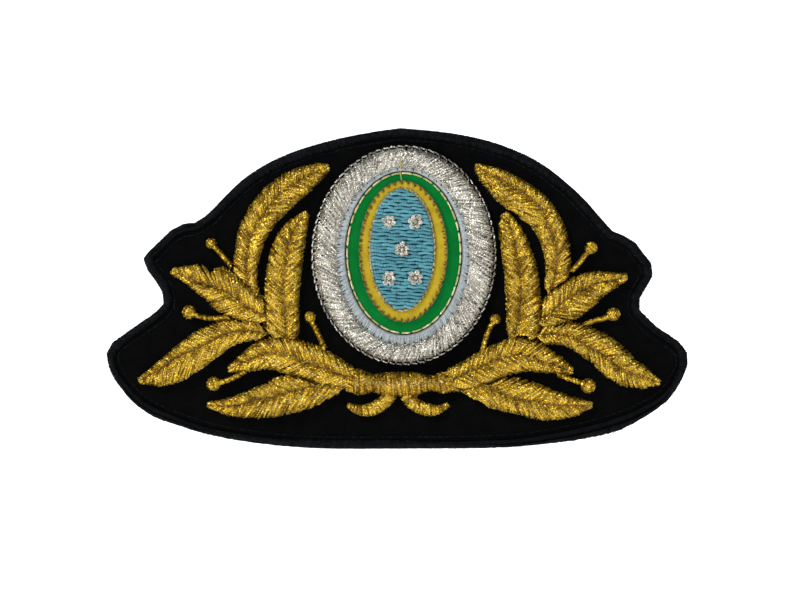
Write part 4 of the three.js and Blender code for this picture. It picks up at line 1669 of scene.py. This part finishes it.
LINES = [
    Line("rim_stitch", "rim_stitches", SILVER_LINE, 1.42 * MM, 0.84, 0.32 * MM, 0.14 * MM, 0.14),
    Line("green_edge_stitch", "green_stitches", GOLD_LINE, 2.05 * MM, 0.90, 0.36 * MM, 0.26 * MM),
    Line("yellow_edge_stitch", "yellow_stitches", TAN_LINE, 1.30 * MM, 0.86, 0.26 * MM, 0.0),
    Line("field_edge_stitch", "field_stitches", GREY_LINE, 1.05 * MM, 0.96, 0.44 * MM, 0.30 * MM, 0.22,
         lift=0.14 * MM),
]


@dataclass
class Medallion:
    """The oval in the middle: a silver rim around rings of coloured cloth and a stitched field."""

    thread_pitch: float = 0.25 * MM
    row_pitch: float = 0.645 * MM
    petals: int = 6
    random: np.random.Generator = field(default_factory=lambda: np.random.default_rng(37))

    def build(self, mould: ThreadMould, short_mould: ThreadMould) -> None:
        """Make each ring from the outside in.

        Args:
            mould: The thread for long stitches.
            short_mould: The thread for short ones.
        """
        self.rim = Oval.around("silver_ring")
        self.green = Oval.around("green_oval")
        self.pale = Oval(
            self.green.x - 0.1 * MM, self.green.z - 0.6 * MM,
            self.green.half_width + 1.3 * MM, self.green.half_height + 1.1 * MM,
        )
        self.yellow = Oval.around("yellow_oval")
        self.blue = Oval.around("blue_field")
        self._ground()
        self._silver(short_mould)
        self._rim_loops(short_mould)
        self._cloth_ring("pale_ring", "pale_satin", PALE,
                         self.green.grown(0.02 * MM), self.pale.grown(0.35 * MM),
                         [(self.pale.grown(-0.12 * MM), 1.6 * MM, 0.24 * MM, 0.9)])
        self._cloth_ring("green_oval", "green_satin", GREEN, self.yellow.grown(-0.6 * MM), self.green,
                         [(self.green.grown(-0.05 * MM), 0.2 * MM, 0.12 * MM, 0.6)])
        self._cloth_ring("yellow_oval", "yellow_satin", YELLOW, self.blue.grown(-0.6 * MM), self.yellow,
                         [(self.yellow.grown(-0.40 * MM), 1.3 * MM, 0.115 * MM, 2.4),
                          (self.yellow.grown(0.05 * MM), 0.16 * MM, 0.09 * MM, 1.0),
                          (self.blue.grown(0.45 * MM), 1.1 * MM, 0.13 * MM, 1.8)])
        self._pale_threads(short_mould)
        self._ticks(short_mould)
        for line in LINES:
            self._line(short_mould, line)
        self._field(mould)
        self._rosettes(short_mould)
        self._jump_thread(mould)

    def _ground(self) -> None:
        """The black oval under the whole medallion."""
        ground = copy_node("medallion_ground", "medallion_felt")
        soften(ground, 0.4 * MM, 2)
        own(ground, FELT, "medallion_ground")

    def _silver(self, mould: ThreadMould) -> None:
        """The padded silver rim, stitched obliquely from edge to edge in short lengths.

        Args:
            mould: The thread that is copied along the stitches.
        """
        pad = copy_node("silver_ring_pad", "silver_rim_padding")
        soften(pad, 0.3 * MM, 3)
        swell(pad, 0.30 * MM)
        own(pad, SILVER_PADDING, "silver_ring_pad")
        low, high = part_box("silver_ring")
        self.silver_floor, self.silver_rise = high.y, high.y - low.y
        stitches = Stitches(self.random, 0.30 * MM, 0.26 * MM)
        for layer, lean in ((0, -0.055), (1, 0.075)):
            middle = self.pale.grown(2.2 * MM)
            count = int(middle.girth() / (self.thread_pitch * (1.0 if layer else 1.25)))
            turns = middle.even_turns(count, 0.5 * layer)
            inner = self.pale.at(turns + lean + self.random.normal(0, 0.010, count))
            outer = self.rim.at(turns - lean + self.random.normal(0, 0.010, count))
            for start, end in zip(inner, outer):
                self._over(stitches, start, end, 0.15 * MM * (1 - layer))
        own(mould.lay("silver_rim_stitches", stitches), SILVER, "silver_ring")

    def _over(self, stitches: Stitches, start: np.ndarray, end: np.ndarray, drop: float) -> None:
        """One line of stitches from the inner edge to the outer edge, over the padding.

        Args:
            stitches: Where to add them.
            start: The point on the inner edge.
            end: The point on the outer edge.
            drop: How far below the top layer they lie.
        """
        first, last = self.random.uniform(-0.03, 0.0), self.random.uniform(1.0, 1.03)
        cuts = [first, self.random.uniform(0.22, 0.45), self.random.uniform(0.55, 0.8), last]
        drop += self.random.uniform(-0.03, 0.03) * MM
        for near, far in zip(cuts, cuts[1:]):
            share = np.linspace(near - 0.03, far + 0.03, 7)
            flat = start + share[:, None] * (end - start)
            arch = np.interp(share, [-0.1, 0.0, 0.06, 0.2, 0.4, 0.62, 0.84, 0.95, 1.0, 1.1],
                             [0.0, 0.28, 0.52, 0.78, 0.95, 1.0, 0.86, 0.55, 0.2, 0.0])
            dip = np.abs(np.linspace(-1, 1, 7)) ** 4 * 0.06 * MM
            height = self.silver_rise * arch - drop - dip
            stitches.add(upright(flat, self.silver_floor - height))

    def _rim_loops(self, mould: ThreadMould) -> None:
        """Small loops that tie the silver to the running line outside it, and to the pale cloth.

        Args:
            mould: The thread that is copied along the stitches.
        """
        loops = Stitches(self.random, 0.17 * MM, 0.17 * MM)
        outer, rim = self.rim.grown(-0.15 * MM), Oval.around("rim_stitch", 0.1 * MM)
        count = int(rim.girth() / (1.42 * MM))
        for turn in rim.even_turns(count, 0.95):
            start, end = outer.point(turn + self.random.uniform(-0.02, 0.0)), rim.point(turn)
            share = np.linspace(0, 1, 6)
            flat = start + share[:, None] * (end - start)
            height = np.interp(share, [0, 0.4, 1], [0.55, 0.42, 0.12]) * MM
            loops.add(upright(flat, self.silver_floor - height))
        inner, pale = self.pale.grown(0.75 * MM), self.pale.grown(-0.02 * MM)
        for turn in pale.even_turns(int(pale.girth() / (0.66 * MM))):
            turn += self.random.normal(0, 0.010)
            start, end = inner.point(turn), pale.point(turn + self.random.normal(0, 0.012))
            share = np.linspace(0, 1, 6)
            flat = start + share[:, None] * (end - start)
            height = np.interp(share, [0, 0.5, 1], [0.95, 0.80, 0.42]) * MM
            loops.add(upright(flat, self.silver_floor - height), self.random.uniform(1.1, 1.9))
        own(mould.lay("silver_rim_loops", loops), SILVER)

    def _cloth_ring(
        self, node: str, name: str, finish: Finish, inner: Oval, outer: Oval,
        holes: list[tuple[Oval, float, float, float]],
    ) -> None:
        """A ring of smooth cloth, drawn down and painted with shade at the needle holes along its edges.

        Args:
            node: The CAD node that it replaces.
            name: The new piece's name.
            finish: The cloth.
            inner: The ring's inner edge.
            outer: Its outer edge.
            holes: For each row of needle holes, its oval, its pitch, its holes' size, and how many
                times longer than wide they are.
        """
        deselect()
        girth = int(outer.girth() / (0.15 * MM))
        bpy.ops.mesh.primitive_torus_add(
            major_segments=girth, minor_segments=48, major_radius=1.0, minor_radius=0.25,
        )
        ring = take(name)
        points = points_of(ring)
        low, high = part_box(node)
        turn = np.arctan2(points[:, 1], points[:, 0])
        round_about = np.arctan2(points[:, 2], np.hypot(points[:, 0], points[:, 1]) - 1.0)
        front = round_about > 1e-4
        share = np.where(front, 1 - round_about / math.pi, 1 + round_about / math.pi)
        flat = inner.at(turn) * (1 - share[:, None]) + outer.at(turn) * share[:, None]
        round_edge = 1 - np.sqrt(np.maximum(0.0, 1 - np.abs(2 * share - 1) ** 10))
        crown = (1 - np.sin(math.pi * share)) * 0.06 * MM
        depth = np.where(front, low.y + crown + round_edge * 0.22 * MM, high.y)
        marks = np.zeros(len(points))
        for line, pitch, size, stretch in holes:
            spots = line.even_turns(int(line.girth() / pitch))
            for spot, angle in zip(line.at(spots), spots):
                spot = spot + self.random.normal(0, 0.05, 2) * MM
                normal = np.array([math.cos(angle) / line.half_width, math.sin(angle) / line.half_height])
                normal /= np.linalg.norm(normal)
                away = flat - spot
                radial = away @ normal
                aside = away @ left_of(normal)
                marks = np.maximum(marks, np.exp(-((aside / size) ** 2) - (radial / (size * stretch)) ** 2))
        depth = np.where(front, depth + 0.22 * MM * marks, depth)
        move_points(ring, upright(flat, depth))
        # The marks also darken the cloth's colour there: painted shade in the needle holes.
        values = np.where(front, np.clip(marks * 1.3, 0, 1), 0.0).astype(np.float32)
        ring.data.attributes.new("hole_shade", "FLOAT", "POINT").data.foreach_set("value", values)
        face_out(ring)
        ring.data.shade_smooth()
        own(ring, finish, node)

    def _pale_threads(self, mould: ThreadMould) -> None:
        """Short pale stitches from the green cloth out under the silver, and short black threads between them
        that paint the shade of the needle gaps.

        Args:
            mould: The thread that is copied along the stitches.
        """
        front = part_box("pale_ring")[0].y
        threads = Stitches(self.random, 0.26 * MM, 0.18 * MM)
        gaps = Stitches(self.random, 0.18 * MM, 0.10 * MM)
        inner, outer = self.green.grown(0.06 * MM), self.pale.grown(0.25 * MM)
        for turn in outer.even_turns(int(outer.girth() / (0.27 * MM))):
            bend = self.random.normal(0, 0.008)
            start, end = inner.point(turn), outer.point(turn + bend)
            flat = start + np.linspace(0, 1, 7)[:, None] * (end - start)
            height = np.array([-0.10, 0.03, 0.06, 0.07, 0.06, 0.03, -0.05]) * MM
            height = height + self.random.uniform(0, 0.04) * MM
            threads.add(upright(flat, front - height))
        # Short black threads across the outer edge: painted shade of the needle gaps.
        inner, outer = self.pale.grown(-0.34 * MM), self.pale.grown(0.16 * MM)
        for turn in outer.even_turns(int(outer.girth() / (1.6 * MM))):
            turn += self.random.normal(0, 0.008)
            start, end = inner.point(turn), outer.point(turn)
            flat = start + np.linspace(0, 1, 5)[:, None] * (end - start)
            gaps.add(upright(flat, front - 0.14 * MM))
        own(mould.lay("pale_stitches", threads), PALE_THREAD)
        own(mould.lay("pale_needle_gap_shade", gaps), BLACK)

    def _ticks(self, mould: ThreadMould) -> None:
        """Whip stitches over the yellow cloth's outer edge.

        Args:
            mould: The thread that is copied along the stitches.
        """
        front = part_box("yellow_oval")[0].y
        ticks = Stitches(self.random, 0.17 * MM, 0.18 * MM)
        inner, outer = self.yellow.grown(-0.75 * MM), self.yellow.grown(0.08 * MM)
        for turn in outer.even_turns(int(outer.girth() / (1.30 * MM)), 0.5):
            turn += self.random.normal(0, 0.008)
            start, end = inner.point(turn), outer.point(turn + self.random.normal(0, 0.01))
            share = np.linspace(0, 1, 6)
            flat = start + share[:, None] * (end - start)
            height = np.interp(share, [0, 0.25, 0.8, 1], [0.0, 0.10, 0.08, -0.1]) * MM
            ticks.add(upright(flat, front - height))
        own(mould.lay("yellow_whip_stitches", ticks), TAN_LINE)

    def _line(self, mould: ThreadMould, line: Line) -> None:
        """Work one running line around its oval.

        Args:
            mould: The thread that is copied along the stitches.
            line: The line of stitches to make.
        """
        low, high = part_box(line.node)
        front = (low.y + high.y) / 2 - line.lift
        oval = Oval.around(line.node, line.inset)
        count = int(oval.girth() / line.pitch)
        loop = oval.at(oval.even_turns(720))
        loop = np.vstack([loop, loop[:1]])
        stitches = Stitches(self.random, line.width, 0.24 * MM)
        middle = np.array([oval.x, oval.z])
        for i in range(count):
            start = (i + self.random.uniform(-0.04, 0.06)) / count
            end = start + line.share * self.random.uniform(0.92, 1.06) / count
            path = running_stitch(loop, max(0.0, start), min(1.0, end), front, line.sag)
            slide = np.linspace(-0.5, 0.5, len(path))[:, None] * line.turn * line.pitch
            outward = path[:, [0, 2]] - middle
            outward /= np.linalg.norm(outward, axis=1, keepdims=True)
            path[:, [0, 2]] += outward * slide
            stitches.add(path)
        own(mould.lay(line.name, stitches), line.finish, line.node)

    def _field(self, mould: ThreadMould) -> None:
        """The blue field: a ground cloth filled with level rows of stitches.

        Args:
            mould: The thread that is copied along the stitches.
        """
        ground = copy_node("blue_field", "field_ground")
        soften(ground, 0.3 * MM, 2)
        own(ground, BLUE_GROUND)
        low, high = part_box("blue_field")
        rows = int((high.z - low.z) / self.row_pitch)
        stitches = Stitches(self.random, 0.60 * MM, 0.34 * MM)
        for row in range(rows + 1):
            self._row(stitches, low.z + (row + 0.4) * self.row_pitch, low.y)
        own(mould.lay("field_threads", stitches), BLUE, "blue_field")

    def _row(self, stitches: Stitches, z: float, front: float) -> None:
        """One level row of long stitches, each dipping a little at its ends.

        Args:
            stitches: The set of stitches to add to.
            z: The height of the row.
            front: Where the threads lie in depth.
        """
        height = (z - self.blue.z) / (self.blue.half_height + 0.25 * MM)
        if abs(height) > 0.99:
            return
        half = (self.blue.half_width + 0.2 * MM) * math.sqrt(1 - height**2)
        cuts = [-half, -half + self.random.uniform(0.8, 3.4) * MM]
        while cuts[-1] < half - 1.4 * MM:
            cuts.append(cuts[-1] + self.random.uniform(2.4, 4.0) * MM)
        cuts = [*cuts[:-1], half]
        phase, wave = self.random.uniform(0, TAU), self.random.uniform(2.2, 3.6) * MM
        for left, right in zip(cuts, cuts[1:]):
            x = np.linspace(left - 0.12 * MM, right + 0.12 * MM, 12)
            sway = 0.09 * MM * np.sin(x / wave * TAU + phase) + 0.03 * MM * self.random.normal() - 0.05 * x
            dip = 0.10 * MM * np.abs(np.linspace(-1, 1, 12)) ** 5
            bow = 0.05 * MM * (1 - np.linspace(-1, 1, 12) ** 2)
            stitches.add(np.column_stack([self.blue.x + x, front - 0.10 * MM + dip, z + sway + bow]))

    def _rosettes(self, mould: ThreadMould) -> None:
        """Five small silver flowers, each a ring of thread loops around a knot.

        Args:
            mould: The thread that is copied along the stitches.
        """
        for number in range(1, 6):
            node = f"rosette_{number}"
            low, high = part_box(node)
            centre = np.array([(low.x + high.x) / 2, (low.z + high.z) / 2])
            stitches = Stitches(self.random, 0.30 * MM, 0.28 * MM)
            first = self.random.uniform(0, TAU)
            for i in range(self.petals):
                turn = first + TAU * i / self.petals + self.random.normal(0, 0.06)
                radius = (high.x - low.x) / 2 * self.random.uniform(0.78, 1.02)
                self._petal(stitches, centre, turn, high.y, radius)
            for i in range(5):
                turn = first + 1.3 * i
                way = np.array([math.cos(turn), math.sin(turn)])
                steps = np.linspace(-0.42, 0.42, 7)
                flat = centre + steps[:, None] * MM * way
                arch = 0.62 * MM - (steps / 0.42) ** 2 * 0.16 * MM
                stitches.add(upright(flat, high.y - arch))
            own(mould.lay(f"{node}_stitches", stitches), SILVER_FLOWER, node)

    def _petal(
        self, stitches: Stitches, centre: np.ndarray, turn: float, floor: float, radius: float,
    ) -> None:
        """One petal: two nested loops of thread that start and end near the middle.

        Args:
            stitches: The set of stitches to add to.
            centre: The middle of the rosette.
            turn: The direction of the petal, as an angle.
            floor: Where the field lies in depth.
            radius: The size of the rosette.
        """
        way = np.array([math.cos(turn), math.sin(turn)])
        across = left_of(way)
        for wide, long in ((0.34, 1.04), (0.17, 0.82)):
            angle = np.linspace(-0.96 * math.pi, 0.96 * math.pi, 15)
            out = radius * (0.36 + (long - 0.36) * (0.5 + 0.5 * np.cos(angle)))
            side = wide * radius * np.sin(angle) * (0.55 + 0.45 * np.cos(angle / 2))
            flat = centre + out[:, None] * way + side[:, None] * across
            height = (0.36 + 0.14 * np.cos(angle / 2)) * MM * np.ones(15)
            stitches.add(upright(flat, floor - height))

    def _jump_thread(self, mould: ThreadMould) -> None:
        """The loose gold thread that crosses the rim at its top.

        Args:
            mould: The thread that is copied along the stitches.
        """
        jumps = Stitches(self.random, 0.17 * MM, 0.17 * MM)
        top = np.array([self.rim.x, self.rim.z + self.rim.half_height])
        front = self.silver_floor - self.silver_rise
        share = np.linspace(0, 1, 13)
        x = top[0] - 0.9 * MM + share * 0.55 * MM + 0.12 * MM * np.sin(share * 7)
        z = top[1] - 0.9 * MM - share * 5.6 * MM
        lift = 0.12 * MM + 0.1 * MM * np.sin(share * 3)
        sink = np.interp(share, [0, 0.1, 0.55, 0.85, 1], [0.5, 0.05, 0.0, 0.75, 1.15]) * MM
        jumps.add(np.column_stack([x, front - lift + sink, z]))
        own(mould.lay("loose_gold_thread", jumps), GOLD_LINE)


# --------------------------------------------------------------------------- the studio


@dataclass
class Studio:
    """A plain pale floor and backdrop, soft lights and the camera in front."""

    span: float = 0.152
    lens: float = 100.0
    sensor: float = 36.0
    aim: tuple[float, float] = (0.475 * MM, -2.1 * MM)

    def build(self) -> None:
        """Set everything up."""
        self._sweep()
        self._lights()
        self._camera()

    def _sweep(self) -> None:
        """A floor that curves up into a backdrop well behind the badge."""
        deselect()
        bpy.ops.mesh.primitive_plane_add(size=1.0, location=(0.0, 0.0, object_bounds()[0].z - 2 * MM))
        sweep = take("studio_sweep")
        move_points(sweep, np.array([[-3.0, -2.0, 0.0], [3.0, -2.0, 0.0], [-3.0, 1.2, 0.0], [3.0, 1.2, 0.0]]))
        bpy.ops.object.transform_apply(location=True)
        far = points_of(sweep)[:, 1] > 0
        pick_edges(sweep, [all(far[i] for i in edge.vertices) for edge in sweep.data.edges])
        for turn in np.linspace(0.2, math.pi / 2, 6):
            move = (0.0, 0.16 * math.cos(turn), 0.16 * math.sin(turn))
            bpy.ops.mesh.extrude_region_move(TRANSFORM_OT_translate={"value": move})
        bpy.ops.mesh.extrude_region_move(TRANSFORM_OT_translate={"value": (0.0, 0.0, 2.5)})
        bpy.ops.object.mode_set(mode="OBJECT")
        sweep.data.shade_smooth()
        bench = ShaderBench("studio paper")
        bench.set(Base_Color=(0.9, 0.9, 0.9), Roughness=0.9)
        bench.set(Emission_Color=(1.0, 1.0, 1.0), Emission_Strength=1.0)
        sweep.data.materials.append(bench.material)
        sweep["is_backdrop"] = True

    def _lights(self) -> None:
        """A large soft light above and to the left, a weaker one to the right, and a pale room."""
        self._panel("key", (-0.60, -0.50, 0.70), 0.30, 8.8)
        self._panel("fill", (0.75, -0.8, 0.25), 0.6, 0.2)
        world = bpy.data.worlds.new("room")
        bpy.context.scene.world = world
        world.use_nodes = True
        background = world.node_tree.nodes["Background"]
        background.inputs["Color"].default_value = (0.93, 0.95, 1.0, 1.0)
        background.inputs["Strength"].default_value = 0.095

    def _panel(self, name: str, place: tuple[float, float, float], size: float, power: float) -> None:
        """One square soft light that faces the badge.

        Args:
            name: The light's name.
            place: Where it stands.
            size: Its width and height.
            power: Its power in watts.
        """
        light = bpy.data.lights.new(name, "AREA")
        light.size = size
        light.energy = power
        panel = bpy.data.objects.new(name, light)
        panel.location = place
        panel.rotation_euler = (-Vector(place)).to_track_quat("-Z", "Y").to_euler()
        bpy.context.scene.collection.objects.link(panel)

    def _camera(self) -> None:
        """A long lens straight in front, framed a little low of the badge's middle."""
        data = bpy.data.cameras.new("camera")
        data.lens = self.lens
        data.sensor_width = self.sensor
        camera = bpy.data.objects.new("camera", data)
        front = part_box("face_felt")[0].y
        camera.location = (self.aim[0], front - self.span * self.lens / self.sensor, self.aim[1])
        camera.rotation_euler = (math.pi / 2, 0.0, 0.0)
        data.clip_start, data.clip_end = 0.01, 20.0
        bpy.context.scene.collection.objects.link(camera)
        bpy.context.scene.camera = camera


# --------------------------------------------------------------------------- assembly


def corners(box: tuple[Vector, Vector]) -> list[list[float]]:
    """A box as plain lists."""
    return [list(corner) for corner in box]


def main() -> None:
    """Build the badge from the back forwards, then the studio."""
    logging.basicConfig(level=logging.INFO, format="%(message)s")
    bpy.context.scene.view_settings.view_transform = "Standard"
    mould = ThreadMould(sides=6, rings=10)
    short_mould = ThreadMould(sides=5, rings=7)
    ClothStack().build()
    BoundEdge().build(mould)
    Branches().build(mould)
    Medallion().build(mould, short_mould)
    Studio().build()


if __name__ == "__main__":
    main()
